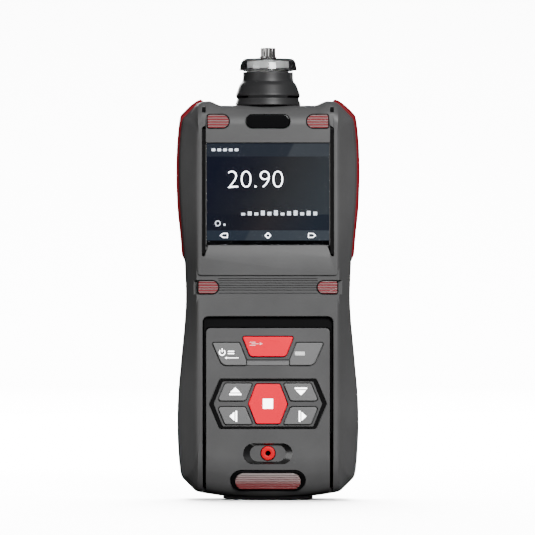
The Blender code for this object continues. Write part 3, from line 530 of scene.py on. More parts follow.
def caseRings(side, inset=0.0):
    # (share of the flank, depth): a soft ridge, the flank, a soft outer corner
    shape = caseShape
    face = shape["face"] - inset
    foot = shape["flankFoot"] if side < 0 else shape["backFoot"]
    fall = face - foot
    soft = 0.13 if side < 0 else 0.3
    steps = bendThrough((-soft, face), (0, face), (soft, face - soft * fall), 6)
    steps += [(s, face - s * fall) for s in (0.3, 0.5, 0.7)]
    steps += bendThrough((0.86, face - 0.86 * fall), (1, foot), (1, foot - 1.6), 5)
    outline = insetOutline(caseOutline(), inset)
    low, high = shape["bottomLow"] + inset, shape["topHigh"] - inset
    rings = []
    for share, depth in steps:
        reach = min(1.0, max(0.0, (depth - foot) / fall))
        roll = 1 - sqrt(max(0.0, 1 - reach * reach))
        lift = shape["bottomRoll" if side < 0 else "backRoll"]
        drop = shape["topRoll" if side < 0 else "backRoll"]
        ring = []
        for x, z in outline:
            height = (z - low) / (high - low)
            ridge = shape["ridge"] - inset * 0.55 if side < 0 else abs(x) * shape["backTaper"]
            out = abs(x)
            if out > ridge + 0.2 * (side > 0):
                out = ridge + (out - ridge) * share
            rise = lift * roll * (1 - height) - drop * roll * height
            ring.append((copysign(out, x), side * depth, z + rise))
        rings.append(ring)
    return rings


def caseTub(side, outer, inner):
    outside, inside = caseRings(side, outer), caseRings(side, inner)
    rim = [[(x, side * caseShape["split"], z) for x, _, z in rings[-1]] for rings in (outside, inside)]
    return loft(outside + rim + inside[::-1])


face = -caseShape["face"]
screenLow, screenHigh = boxOf("screen_lens")
panelHigh = boxOf("keypad_panel")[1]
windowAt = centreOf("infrared_window")

frontDetails = {
    "centreHalf": panelHigh.x,
    "railInner": panelHigh.x + 1.8,
    "grooveDepth": 2.5,
    "grooveLow": 110.2,
    "grooveHigh": 169.3,
    "ledgeLow": 109.4,
    "ledgeDepth": 1.5,
    "bandLow": 91.6,
    "bandHigh": 101.7,
    "bandDepth": 1.0,
    "bandLines": [93.4, 94.8, 95.9, 96.9, 98.0, 99.1, 100.0],
    "bandLineHalf": 22.3,
    # painted shadow: black strips lying in the channels, as (low, high, depth)
    "shadeStrips": [(111.4, 167.4, 0.9), (175.4, 177.4, 2.8)],
    "openingHigh": 83.1,
    "openingRadius": 2.6,
}


def grooveShapes(details):
    # the dark channel between the middle plate and each rail, ending in a slanted facet
    a, b = details["centreHalf"] + 0.1, details["railInner"]
    low, high = details["grooveLow"], details["grooveHigh"]
    deep = [(a - 1.2, low + 4.6), (a + 0.3, low + 0.5), (a + 0.7, low - 0.1), (b - 0.1, low), (b, low + 0.8),
            (b, high - 1.4), (a, high), (a, low + 5.1)]
    shallow = [(a, high - 1.0), (b, high - 2.2), (b, 174.4), (a, 174.4)]
    top = [(a, 174.9), (b, 174.9), (b - 0.1, 184.0), (a + 0.1, 184.0)]
    depth = details["grooveDepth"]
    passes = ((deep, depth, 0.12), (top, depth + 1.2, 0.12), (shallow, 0.55, 0.08))
    return [[cutter(shape, face, face + far, edge) for shape in bothSides(outline)]
            for outline, far, edge in passes]


def bandShape(details):
    # the recess across the waist, with its two bezels' corners rounded
    low, high, ridge = details["bandLow"], details["bandHigh"], caseShape["ridge"]
    right = [(0, low), (ridge - 1.6, low)]
    right += bendThrough((ridge - 1.6, low), (ridge - 0.1, low - 0.1), (ridge, low - 1.6), 5)[1:]
    right += [(ridge + 1.4, low - 5), (45, low - 5), (45, high + 5), (ridge + 1.4, high + 5)]
    right += bendThrough((ridge, high + 1.6), (ridge - 0.1, high + 0.1), (ridge - 1.6, high), 5)
    right += [(0, high)]
    outline = right + mirrored(right)[1:-1]
    return prism(outline, face - 4, face + details["bandDepth"])


def footPocket():
    low, high = boxOf("bottom_foot")
    return prism(rectangle((low.x - 0.3, -8), (high.x + 0.3, 2.0)), low.y - 0.3, high.y + 0.3)


def neckBore(radius):
    return turned([(0, 170), (radius, 170), (radius, 190), (0, 190)], 48)


def frontCover():
    details = frontDetails
    piece = rawObject("front_cover", caseTub(-1, 0, caseShape["wall"]))
    half, low, high = details["centreHalf"] + 0.1, screenLow.z - 0.4, screenHigh.z + 0.4
    cut(piece, bandShape(details))
    ledge = [(face - 4, details["ledgeLow"]), (face - 0.02, details["ledgeLow"]),
             (face + details["ledgeDepth"], low), (face + details["ledgeDepth"], high), (face - 4, high)]
    cut(piece, bar(ledge, -half, half))
    cut(piece, prism(rectangle((-half + 0.3, low + 0.1), (half - 0.3, high - 0.1), 0.3), face - 6, -11.0))
    for pair in grooveShapes(details):
        cut(piece, *pair)
    holes, slots = [], []
    for side, name in ((-1, "left"), (1, "right")):
        at, size = centreOf(f"lamp_lens_top_{name}"), sizeOf(f"lamp_lens_top_{name}")
        holes.append(cutter(moved(grown(dShape(size.x, size.z, side), 0.42), at.x, at.z), face, -10.0, 0.15))
        at, size = centreOf(f"lamp_lens_mid_{name}"), sizeOf(f"lamp_lens_mid_{name}")
        slot = grown(dShape(size.x + 3.1, size.z, side), 0.35)
        slots.append(cutter(moved(slot, at.x + side * 1.55, at.z), face + details["bandDepth"], -14.6, 0.18))
    size = sizeOf("infrared_window")
    holes.append(cutter(moved(grown(stadium(size.x, size.z), 0.3), 0, windowAt.z), face, -10.0, 0.15))
    half, radius = details["railInner"] - 0.3, details["openingRadius"]
    opening = rectangle((-half, -20), (half, details["openingHigh"]), [0, 0, radius, radius])
    holes.append(cutter(opening, face, -8.0, 0.22))
    cut(piece, *holes)
    lines = [cutter(moved(stadium(2 * details["bandLineHalf"], 0.42, 4), 0, z), face + details["bandDepth"],
                    face + details["bandDepth"] + 0.5, 0.08) for z in details["bandLines"]]
    cut(piece, *lines)
    cut(piece, *slots)
    cut(piece, neckBore(9.0))
    cut(piece, footPocket())
    finishPiece(piece, "case", "case", "front_shell")


def channelShadeStrips():
    # black strips at the bottom of the channels beside the middle plate: a painted shadow that makes the
    # channels read dark
    details = frontDetails
    left, right = details["centreHalf"] + 0.25, details["railInner"] - 0.1
    shadeStrips = []
    for low, high, depth in details["shadeStrips"]:
        outline = rectangle((left, low), (right, high))
        shadeStrips += [prism(shape, face + depth, face + depth + 0.5) for shape in bothSides(outline)]
    finishPiece(rawObject("channel_strips", together(shadeStrips)), "black", "seal_black")


frontCover()
channelShadeStrips()
print("front cover made")


# the rear half of the case

rearDetails = {
    "screws": [(33.0, 24.0), (32.5, 158.5)],
    "screwHole": 1.5,
    "screwWell": 2.9,
    "screwSeat": 15.2,
    "clipScrews": [128.5, 147.5],
    "label": [(-24.0, 32.0), (24.0, 84.0)],
    "labelRadius": 3.0,
    "labelDepth": 0.5,
    "exhaust": (22.0, 109.0),
    "gripRows": 9,
    "gripPitch": 3.4,
    "gripLow": 52.0,
}


def boreAt(x, z, radius, start, end):
    bm = turned([(0, 0), (radius, 0), (radius, end - start), (0, end - start)], 32)
    return shift(turnTo(bm, "back"), (x, start, z))


def wellAt(x, z, radius, wide, seat, top, edge=0.25):
    # a stepped hole with a chamfered mouth, opening towards the back
    mouth = wide + 2 * edge
    profile = [(0, 0), (radius, 0), (radius, seat), (wide, seat), (wide, top - edge), (mouth, top + edge),
               (mouth, top + 8), (0, top + 8)]
    return shift(turnTo(turned(profile, 40), "back"), (x, -1.0, z))


def rearCover():
    details = rearDetails
    back = caseShape["face"]
    piece = rawObject("rear_cover", caseTub(1, 0, caseShape["wall"]))
    cut(piece, footPocket())
    spots = [(side * x, z) for side in (-1, 1) for x, z in details["screws"]]
    weld(piece, *[boreAt(x, z, 3.4, 1.2, 16.5) for x, z in spots],
         *[boreAt(0, z, 2.8, 12.8, 16.5) for z in details["clipScrews"]])
    cut(piece, *[wellAt(x, z, details["screwHole"], details["screwWell"], details["screwSeat"] + 1, back + 1)
                 for x, z in spots], *[boreAt(0, z, 1.3, 12.0, 25.0) for z in details["clipScrews"]])
    x, z = details["exhaust"]
    dish = turned([(0, 0), (1.1, 0), (1.1, 4.6), (2.0, 4.8), (2.8, 5.3), (3.4, 6.2), (3.4, 12), (0, 12)], 40)
    label = rectangle(*details["label"], details["labelRadius"], 8)
    cut(piece, shift(turnTo(dish, "back"), (x, 12.4, z)),
        cutter(label, back, back - details["labelDepth"], 0.2), neckBore(9.0))
    low, high = boxOf("charge_flap")
    port = rectangle((low.x - 0.3, low.z - 0.8), (high.x + 0.3, high.z + 0.3), 0.5)
    cut(piece, cutter(port, back, low.y - 0.3, 0.2),
        prism(rectangle((-5.6, 9.6), (5.6, 15.0), 1.2), 14.0, low.y + 2))
    grip = stadium(7.5, 1.3, 6)
    spots = [(x, details["gripLow"] + row * details["gripPitch"]) for row in range(details["gripRows"])
             for x in (-30.0, 30.0)]
    cut(piece, *[cutter(moved(grip, x, z), back, back - 0.45, 0.18) for x, z in spots])
    finishPiece(piece, "rear", "case", "rear_shell")


def caseSealRing():
    # a flat band in the joint between the halves
    outline = caseOutline()
    outside, inside = insetOutline(outline, 0.5), insetOutline(outline, 2.0)
    half = 0.32
    rings = [(outside, -half), (inside, -half), (inside, half), (outside, half)]
    piece = rawObject("case_seal_ring", stack(rings, closed=True))
    cut(piece, footPocket())
    cut(piece, neckBore(9.3))
    finishPiece(piece, "black", "seal_black", "case_seal")


rearCover()
caseSealRing()
print("rear half made")


# rubber bumpers on the upper sides

bumperShape = {
    "path": [(37.65, 107.8), (37.95, 113.0), (38.75, 122.0), (39.7, 131.0), (40.15, 140.0), (40.3, 148.0),
             (40.1, 158.0), (39.45, 167.0), (38.75, 172.0), (38.3, 173.4), (36.9, 174.9), (35.0, 176.8),
             (33.1, 178.4), (31.8, 179.3), (30.5, 179.9), (29.0, 180.15)],
    "under": -0.9,
    "thick": 1.2,
    "halfDepth": 6.6,
    "slots": [(111.0, 3.0), (122.5, 9.5), (146.0, 12.0), (161.5, 5.0)],
    "slotDepth": 0.75,
    "slotHalf": 4.6,
    "ribPitch": 2.2,
}


def bumperStrip(name, side):
    shape = bumperShape
    path = curveThrough(shape["path"], 4)
    section = [(-1.0, 0.0), (-1.0, 0.55), (-0.93, 0.85), (-0.8, 1.0)]
    section += [(-across, height) for across, height in reversed(section)]
    rings = []
    for i, point in enumerate(path):
        before, after = Vector(path[max(i - 1, 0)]), Vector(path[min(i + 1, len(path) - 1)])
        along = (after - before).normalized()
        out = Vector((along.y, -along.x))
        end = min(i, len(path) - 1 - i) / 3
        full = min(1.0, 0.35 + 0.65 * end)
        ring = []
        for across, height in section:
            at = Vector(point) + out * (shape["under"] + (shape["thick"] - shape["under"]) * height * full)
            ring.append((side * at.x, across * shape["halfDepth"], at.y))
        rings.append(ring)
    piece = rawObject(name + "_strip", loft(rings))
    # finger grooves across the strip, in four groups
    grooves = []
    for start, length in shape["slots"]:
        for k in range(int(length / shape["ribPitch"]) + 1):
            height = start + k * shape["ribPitch"]
            near = [p for p in path if abs(p[1] - height) < 2.2]
            edge = near[len(near) // 2][0] + shape["thick"] - shape["slotDepth"]
            outline = moved(rectangle((0, -0.4), (2.2, 0.4), 0.15, 3), edge, height)
            outline = mirrored(outline) if side < 0 else outline
            grooves.append(prism(outline, -shape["slotHalf"], shape["slotHalf"]))
    cut(piece, *grooves)
    finishPiece(piece, "bumper", "bumper_red", name)


bumperStrip("bumper_left", -1)
bumperStrip("bumper_right", 1)
print("bumpers made")


# lamp lenses and the infrared window

lampLook = {"ribPitch": 0.82, "ribDepth": 0.22, "gap": 0.12}


def ribbedBar(half, low, high, front, back, pitch, depth):
    # a block along X whose front carries rounded horizontal ribs
    outline = [(back, low)]
    count = max(1, round((high - low) / pitch))
    for k in range(count * 6 + 1):
        height = low + (high - low) * k / (count * 6)
        outline.append((front + depth * (1 - abs(sin(pi * k / 6))), height))
    outline.append((back, high))
    return bar(outline, -half, half)


def lampLens(node, side):
    low, high = boxOf(node)
    size = high - low
    middle = centreOf(node)
    look = lampLook
    half = size.z / 2 + 0.05
    bm = ribbedBar(size.x, -half, half, low.y, high.y, look["ribPitch"], look["ribDepth"])
    piece = rawObject(node + "_moulding", shift(bm, (middle.x, 0, middle.z)))
    gap = 2 * look["gap"]
    outline = moved(dShape(size.x - gap, size.z - gap, side), middle.x, middle.z)
    keep(piece, prism(outline, low.y - 0.4, high.y - 0.1))
    finishPiece(piece, "lamp", "lamp_lens", node, sharp=50)


def lampWell(node, side):
    # a thin black liner between the lens and the case
    low, high = boxOf(node)
    size = high - low
    middle = centreOf(node)
    outer = moved(grown(dShape(size.x, size.z, side), 0.40), middle.x, middle.z)
    inner = moved(dShape(size.x - 0.16, size.z - 0.16, side), middle.x, middle.z)
    rings = [(outer, low.y + 0.45), (outer, high.y + 0.1), (inner, high.y + 0.1), (inner, low.y + 0.45)]
    piece = rawObject(node + "_liner", stack(rings, closed=True))
    finishPiece(piece, "black", "seal_black")


for lampSide, sideName in ((-1, "left"), (1, "right")):
    for level in ("top", "mid"):
        lampLens(f"lamp_lens_{level}_{sideName}", lampSide)
        lampWell(f"lamp_lens_{level}_{sideName}", lampSide)


def infraredWindow():
    low, high = boxOf("infrared_window")
    outline = moved(stadium(high.x - low.x, high.z - low.z), 0, windowAt.z)
    piece = rawObject("infrared_window_glass", slab(outline, low.y, high.y, 0.35))
    finishPiece(piece, "window", "window_black", "infrared_window")


infraredWindow()
print("lamps made")


# the screen: a glass over a lit picture

screenLook = {
    "glassHalf": 27.6,
    "pictureFront": -15.42,
    "signFront": -15.56,
    "digits": "20.90",
    "digitsLow": (-18.0, 141.0),
    "digitsHeight": 7.65,
    "digitsWidth": 24.8,
    "glareTop": (10.1, 161.4),
    "glareFoot": (-12.2, 117.3),
    "glareMiddle": 139.0,
    "bars": (1.2, 1.9, 1.4, 2.3, 1.7, 2.5, 1.3, 2.0, 2.4, 1.5, 2.2, 1.8),
}


def pictureFinish(name, stops):
    # a lit area whose tone changes along the slant of the glare, a painted reflection on the screen
    finish = newFinish(name, (0.002, 0.002, 0.002), 0.6, Specular_IOR_Level=0.0, Emission_Strength=1.0)
    (topX, topZ), (footX, footZ) = screenLook["glareTop"], screenLook["glareFoot"]
    lean = (topX - footX) / (topZ - footZ)
    _, parts = ownPlace(finish)
    slant = addNode(finish, "Math", operation="MULTIPLY_ADD")
    feed(parts, "Z", slant, 0)
    slant.inputs[1].default_value = -lean
    feed(parts, "X", slant, 2)
    start, end = (x - lean * screenLook["glareMiddle"] for x in (-28.0, 28.0))
    along = addNode(finish, "MapRange", From_Min=start * unit, From_Max=end * unit)
    feed(slant, "Value", along, "Value")
    vary(finish, "Emission Color", along, "Result", *stops)
    return finish


def screenGlass():
    low, high = boxOf("screen_lens")
    half = screenLook["glassHalf"]
    outline = rectangle((-half, low.z), (half, high.z), 0.3)
    piece = rawObject("screen_cover_glass", slab(outline, low.y, high.y, 0.10))
    finishPiece(piece, "glass", "screen_glass", "screen_lens")


def litPicture():
    half, front = screenLook["glassHalf"] - 0.15, screenLook["pictureFront"]
    black = [(0.0, (0.004, 0.004, 0.0045)), (0.40, (0.004, 0.004, 0.0045)), (0.42, (0.0015, 0.0015, 0.002)),
             (1.0, (0.0015, 0.0015, 0.002))]
    # the steps and slopes in each area's tones are a painted glare reflection, changing the tone across the
    # slant
    areas = {
        # a black band along the foot of the glass
        "lower_mask": (screenLow.z + 0.1, 117.3, black),
        "header_bar": (155.1, screenHigh.z - 0.1,
                       [(0.0, (0.030, 0.036, 0.050)), (0.50, (0.034, 0.040, 0.052)),
                        (0.52, (0.066, 0.074, 0.084)), (1.0, (0.066, 0.074, 0.084))]),
        "reading_area": (129.0, 155.1, [(0.0, (0.011, 0.013, 0.026)), (0.30, (0.020, 0.021, 0.030)),
                                        (0.55, (0.038, 0.038, 0.041)), (0.8, (0.046, 0.050, 0.055)),
                                        (1.0, (0.050, 0.058, 0.066))]),
        "gas_band": (121.8, 129.0, [(0.0, (0.010, 0.014, 0.027)), (0.40, (0.018, 0.018, 0.026)),
                                    (0.60, (0.034, 0.030, 0.034)), (1.0, (0.024, 0.030, 0.042))]),
        "button_bar": (117.3, 121.8, [(0.0, (0.030, 0.040, 0.058)), (0.50, (0.034, 0.044, 0.060)),
                                      (0.52, (0.056, 0.066, 0.078)), (1.0, (0.066, 0.078, 0.092))]),
    }
    for name, (low, high, stops) in areas.items():
        finishes[name] = pictureFinish("lit_" + name, stops)
        plate = prism(rectangle((-half, low), (half, high)), front, front + 0.14)
        finishPiece(rawObject("picture_" + name, plate), name, "display")


def textPiece(name, words, corner, width, height, finish):
    curve = bpy.data.curves.new(name, "FONT")
    curve.body = words
    curve.resolution_u = 5
    curve.offset = -0.022
    curve.extrude = 0.02
    holder = bpy.data.objects.new(name + "_text", curve)
    bpy.context.scene.collection.objects.link(holder)
    bpy.context.view_layer.update()
    mesh = bpy.data.meshes.new_from_object(holder.evaluated_get(bpy.context.evaluated_depsgraph_get()))
    bpy.data.objects.remove(holder)
    bm = bmesh.new()
    bm.from_mesh(mesh)
    bmesh.ops.remove_doubles(bm, verts=bm.verts, dist=1e-5)
    xs = [v.co.x for v in bm.verts]
    ys = [v.co.y for v in bm.verts]
    for v in bm.verts:
        x = (v.co.x - min(xs)) / (max(xs) - min(xs)) * width
        z = (v.co.y - min(ys)) / (max(ys) - min(ys)) * height
        v.co = (corner[0] + x, screenLook["signFront"] + 0.04 - v.co.z, corner[1] + z)
    finishPiece(rawObject(name, bm), finish, "display")


def outlineFrame(outline, width, near, far):
    # the outline drawn as a line
    inner = grown(outline, -width)
    return stack([(outline, near), (outline, far), (inner, far), (inner, near)], closed=True)


def litSigns():
    look = screenLook
    textPiece("reading_digits", look["digits"], look["digitsLow"], look["digitsWidth"], look["digitsHeight"],
              "litWhite")
    near, far = look["signFront"], look["signFront"] + 0.08
    tag = [(-21.6, 119.55), (-20.3, 118.5), (-18.1, 118.5), (-18.1, 120.6), (-20.3, 120.6)]
    diamond = rounded([(-1.5, 119.5), (0, 118.0), (1.5, 119.5), (0, 121.0)], 0.35, 4)
    frames = ((tag, 0.30), (mirrored(tag), 0.30), (diamond, 0.36))
    places = [(k * 2.95 - 12.0, 128.6 + tall * 0.9) for k, tall in enumerate(look["bars"])]
    bars = [rectangle((x, 128.6), (x + 1.7, top), 0.12, 2) for x, top in places]
    ring, dot = moved(stadium(2.6, 2.6, 8), -22.6, 125.0), moved(stadium(1.0, 1.0, 6), -19.6, 124.4)
    dashes = [rectangle((x, 157.5), (x + 1.7, 158.7), 0.3, 3) for x in spaced(-25.4, -15.0, 5)]
    signs = {
        "button_signs": [outlineFrame(outline, width, near, far) for outline, width in frames],
        "level_bars": [prism(outline, near, far) for outline in bars],
        "header_dashes": [prism(outline, near, far) for outline in dashes],
        "gas_sign": [outlineFrame(ring, 0.42, near, far), prism(dot, near, far)],
    }
    for name, shapes in signs.items():
        finish = "litWhite" if name == "button_signs" else "litSoft"
        finishPiece(rawObject(name, together(shapes)), finish, "display")


screenGlass()
litPicture()
litSigns()
print("screen made")


# the key panel

panelLook = {
    "inset": 0.6,
    "thick": 2.4,
    "cornerRadius": 2.0,
    "keyGap": 0.32,
    "rim": 0.14,
    "bowl": [(24.2, 11.4, -19.0), (22.9, 10.1, -17.85), (22.3, 9.3, -17.6), (16.1, 7.3, -16.0)],
    "shadeSheetHigh": -17.72,
    "shadeSheetLow": -16.12,
}
padAt = (boxOf("pad_bezel")[0].z + boxOf("pad_bezel")[1].z) / 2
pumpAt = boxOf("pump_button")[1].z - 4.6
bowlAt = centreOf("buzzer_grommet").z
lampAt = centreOf("lamp_lens_bottom").z - 0.6
lampTilt = Matrix.Rotation(radians(22), 4, "X")


def arrowKeyOutline(side, up):
    corners = [(-22.6, 1.4), (-10.2, 1.4), (-7.0, 9.2), (-19.3, 9.2)]
    shape = rounded(corners, [1.0, 1.6, 0.6, 1.0])
    shape = mirrored(shape) if side > 0 else shape
    return shape if up else [(x, -z) for x, z in reversed(shape)]


def enterOutline():
    return rounded([(-8.75, 0), (-5.3, -8.95), (5.3, -8.95), (8.75, 0), (5.3, 8.95), (-5.3, 8.95)], 0.9)


def pumpOutline():
    return rounded([(-8.0, -4.9), (8.0, -4.9), (11.5, 4.05), (-11.5, 4.05)], [2.0, 2.0, 0.6, 0.6])


def wingOutline(side):
    corners = [(-25.0, 1.3), (-20.6, -8.8), (-9.8, -8.8), (-9.8, -6.4), (-12.9, 1.3)]
    shape = rounded(corners, [0.5, 3.4, 0.42, 1.2, 0.5])
    return mirrored(shape) if side > 0 else shape


# outline, height, finish and body of each key
keys = {
    "power_button": (wingOutline(-1), pumpAt, "key_grey", "power_key"),
    "pump_button": (pumpOutline(), pumpAt, "key_red", "pump_key"),
    "menu_button": (wingOutline(1), pumpAt, "key_grey", "menu_key"),
}
arrows = {"up": (-1, True), "down": (1, True), "left": (-1, False), "right": (1, False)}
for arrow, (arrowSide, isUpper) in arrows.items():
    keys[arrow + "_button"] = (arrowKeyOutline(arrowSide, isUpper), padAt, "key_grey", arrow + "_key")
keys["enter_button"] = (enterOutline(), padAt, "key_red", "enter_key")


def padRing(corners, radius, grow=0.0):
    return moved(grown(rounded(corners, radius), grow), 0, padAt)


outerPad = [(-26.4, 0), (-21.7, -11.1), (21.7, -11.1), (26.4, 0), (21.7, 11.1), (-21.7, 11.1)]
innerPad = [(-24.5, 0), (-20.4, -10.2), (20.4, -10.2), (24.5, 0), (20.4, 10.2), (-20.4, 10.2)]


def keypadFront():
    look = panelLook
    half, top = panelHigh.x, panelHigh.z
    front = face + look["inset"]
    piece = rawObject("keypad_front", caseTub(-1, look["inset"], look["inset"] + look["thick"]))
    outline = rectangle((-half, -10), (half, top), [0, 0, look["cornerRadius"], look["cornerRadius"]])
    small = grown(outline, -0.3)
    rings = [(small, front - 8), (small, front - 0.01), (grown(outline, -0.1), front + 0.1),
             (outline, front + 0.35), (outline, -9.3)]
    keep(piece, stack(rings))
    # the key pockets are cut in three groups
    for names in (("pump", "up", "down", "left", "right"), ("power", "menu"), ("enter",)):
        pockets = [keys[name + "_button"] for name in names]
        cut(piece, *[cutter(moved(grown(outline, look["keyGap"]), 0, z), front, -10.0, look["rim"])
                     for outline, z, *_ in pockets])
    # the channel that the black pad frame lies in
    ring = rawObject("pad_channel", cutter(padRing(outerPad, 1.2, 0.25), front, front + 0.8, look["rim"]))
    cut(ring, prism(padRing(innerPad, 1.0, -0.1), -30, -10))
    bm = bmesh.new()
    bm.from_mesh(ring.data)
    bmesh.ops.scale(bm, vec=(1 / unit,) * 3, verts=bm.verts)
    bpy.data.objects.remove(ring)
    cut(piece, bm)
    cut(piece, cutter(rectangle((-10.0, pumpAt - 8.8), (10.0, pumpAt - 6.25), 0.3), front, front + 0.45, 0.1))
    bowl = [(moved(stadium(w, h, 12), 0, bowlAt), y) for w, h, y in look["bowl"]]
    cut(piece, stack(bowl))
    cut(piece, boreAt(0, bowlAt, 3.5, -20.0, -10.0))
    hole = prism(stadium(34.2, 10.1, 12), -6.0, 9.0)
    bmesh.ops.transform(hole, matrix=lampTilt, verts=hole.verts)
    cut(piece, shift(hole, (0, -16.5, lampAt - 0.4)))
    finishPiece(piece, "panel", "panel", "keypad_panel")


def padFrame():
    low, high = boxOf("pad_bezel")
    outer, inner = padRing(outerPad, 1.2), padRing(innerPad, 1.0)
    rings = [(grown(outer, -0.12), low.y), (outer, low.y + 0.12), (outer, high.y), (inner, high.y),
             (inner, low.y + 0.12), (grown(inner, 0.12), low.y)]
    piece = rawObject("pad_frame", stack(rings, closed=True))
    finishPiece(piece, "black", "seal_black", "pad_bezel")


def keyCap(node):
    outline, z, finish, body = keys[node]
    low, high = boxOf(node)
    outline = moved(outline, 0, z)
    flange = grown(outline, 0.4)
    rings = softRing(outline, low.y, 0.36) + [(outline, -14.7), (flange, -14.7), (flange, high.y)]
    piece = rawObject(node + "_cap", stack(rings))
    signs = keySigns.get(node, [])
    recess = [prism(grown(shape, 0.03), low.y - 1, low.y + 0.16) for shape, _ in signs]
    if recess:
        cut(piece, *recess)
    finishPiece(piece, finish, finish, node, body=body)
    for number, (shape, ink) in enumerate(signs):
        inlay = rawObject(f"{node}_sign_{number + 1}", prism(shape, low.y + 0.02, low.y + 0.15))
        finishPiece(inlay, ink, finish, body=body)


def ringPart(centre, radius, width, start, end, steps=20):
    # a broken ring, from one angle to the other
    turns = [radians(a) for a in spaced(start, end, steps)]
    path = [(a, radius) for a in turns] + [(a, radius - width) for a in reversed(turns)]
    return [(centre[0] + reach * cos(a), centre[1] + reach * sin(a)) for a, reach in path]


def strokes(ink, *places, radius=0.1):
    return [(rectangle((x, z), (x + width, z + height), radius, 2), ink) for x, z, width, height in places]


keySigns = {
    "up_button": [([(-17.0, 48.9), (-12.4, 48.9), (-14.7, 51.15)], "ink"),
                  *strokes("ink", (-17.4, 47.7, 5.4, 0.7))],
    "down_button": [([(12.55, 49.9), (14.85, 47.65), (17.15, 49.9)], "ink"),
                    *strokes("ink", (12.1, 50.4, 5.5, 0.7))],
    "left_button": [([(-17.2, 38.15), (-15.1, 36.1), (-15.1, 40.2)], "ink"),
                    *strokes("ink", (-14.6, 35.7, 0.7, 4.9))],
    "right_button": [([(15.1, 36.1), (17.3, 38.15), (15.1, 40.2)], "ink"),
                     *strokes("ink", (13.9, 35.7, 0.7, 4.9))],
    "enter_button": strokes("ink", (-2.25, 41.55, 4.5, 4.5), radius=0.12),
    "power_button": [(ringPart((-20.6, 66.9), 1.45, 0.42, 130, 410), "ink"),
                     *strokes("ink", (-20.81, 67.1, 0.42, 1.6)),
                     *strokes("ink", (-18.0, 66.2, 2.8, 0.4), (-18.0, 67.2, 2.8, 0.4)),
                     ([(-19.4, 64.45), (-18.4, 63.95), (-18.4, 64.95)], "ink"),
                     *strokes("ink", (-18.2, 64.33, 5.0, 0.24), radius=0.05)],
    "menu_button": [(rectangle((12.1, z), (16.6, z + 0.3), 0.12, 3), "inkSoft")
                    for z in (66.85, 66.25, 65.65)],
    "pump_button": [*strokes("inkRose", (-8.2, 71.3, 2.6, 0.35), (-7.4, 70.6, 3.2, 0.35)),
                    *strokes("inkRose", (-8.2, 69.9, 2.6, 0.35)),
                    ([(-3.7, 70.1), (-2.3, 70.78), (-3.7, 71.46)], "inkRose")],
}


def keyBridge():
    low, high = boxOf("key_bridge")
    piece = rawObject("key_bridge_strip", slab(frontOf("key_bridge", 0.2, 4), low.y, high.y, 0.15))
    finishPiece(piece, "key_grey", "key_grey", "key_bridge")


def keyMatSheet():
    low, high = boxOf("key_mat")
    piece = rawObject("key_mat_sheet", slab(frontOf("key_mat", 1.5), low.y, high.y, 0.3))
    half, top = panelHigh.x + 0.3, panelHigh.z + 0.3
    cut(piece, cutter(rectangle((-half, -10), (half, top), [0, 0, 2.0, 2.0]), low.y, -13.1, 0.12))
    finishPiece(piece, "black", "seal_black", "key_mat")


def buzzerRing():
    low, high = boxOf("buzzer_grommet")
    deep = high.y - low.y
    profile = [(1.1, 0), (1.1, deep - 0.35), (1.25, deep - 0.08), (1.5, deep), (2.5, deep),
               (2.95, deep - 0.12), (3.15, deep - 0.45), (3.2, deep - 0.8), (3.2, 0)]
    piece = rawObject("buzzer_ring", shift(turnTo(turned(profile, 64), "front"), (0, high.y, bowlAt)))
    finishPiece(piece, "grommet", "grommet_red", "buzzer_grommet")


def bowlShadeSheet():
    # the glossy dark wall between the panel and the flat floor around the ring, its darkness painted shade on
    # the bowl's walls
    outer, inner = moved(stadium(22.2, 9.2, 16), 0, bowlAt), moved(stadium(16.2, 7.35, 16), 0, bowlAt)
    high, low = panelLook["shadeSheetHigh"], panelLook["shadeSheetLow"]
    rings = [(outer, high), (inner, low), (inner, low + 0.08), (outer, high + 0.08)]
    piece = rawObject("buzzer_bowl_liner", stack(rings, closed=True))
    finishPiece(piece, "bowlShade", "panel")


def tilted(bm):
    bmesh.ops.transform(bm, matrix=lampTilt, verts=bm.verts)
    return shift(bm, (0, -15.0, lampAt))


def bottomLamp():
    front, back = -1.5, 1.8
    bm = ribbedBar(20, -3.85, 3.85, front, back, 0.96, 0.28)
    piece = rawObject("bottom_lamp_lens", bm)
    outline = stadium(29.4, 7.5, 12)
    keep(piece, prism(outline, front - 0.5, back - 0.1))
    piece.data.transform(Matrix.Scale(1 / unit, 4))
    piece.data.transform(Matrix.Translation((0, -15.0, lampAt)) @ lampTilt)
    piece.data.transform(Matrix.Scale(unit, 4))
    finishPiece(piece, "lampLong", "lamp_lens", "lamp_lens_bottom", sharp=50)
    outer, inner = stadium(33.6, 9.5, 12), stadium(29.8, 7.9, 12)
    rings = [(grown(outer, -0.2), -0.75), (outer, -0.5), (outer, 1.6), (inner, 1.6), (inner, -0.5),
             (grown(inner, 0.2), -0.75)]
    seal = rawObject("bottom_lamp_rim", tilted(stack(rings, closed=True)))
    finishPiece(seal, "black", "seal_black", "bottom_lamp_seal")


keypadFront()
padFrame()
for keyNode in keys:
    keyCap(keyNode)
keyBridge()
keyMatSheet()
buzzerRing()
bowlShadeSheet()
bottomLamp()
print("key panel made")


# inlet neck, cap and nozzle

neckLook = {
    "profile": [(1.6, 176.2), (2.6, 176.2), (2.6, 177.2), (8.6, 177.2), (8.6, 178.6), (14.7, 178.6),
                (14.75, 179.2), (14.0, 181.2), (13.95, 181.6), (14.2, 182.1), (14.55, 182.7),
                (14.6, 183.1), (14.45, 183.7),
                (13.1, 187.4), (12.9, 187.9), (12.2, 188.8), (11.75, 189.2), (11.6, 189.7), (11.4, 190.8),
                (11.35, 193.4), (11.15, 193.6), (9.9, 193.6), (9.8, 193.4), (9.8, 190.0), (1.6, 188.0)],
    "notch": [(8.8, 16.0), (181.75, 182.75)],
    "facet": [(9.2, 193.9), (12.5, 193.9), (12.5, 189.4), (11.3, 189.4), (10.2, 190.8)],
}


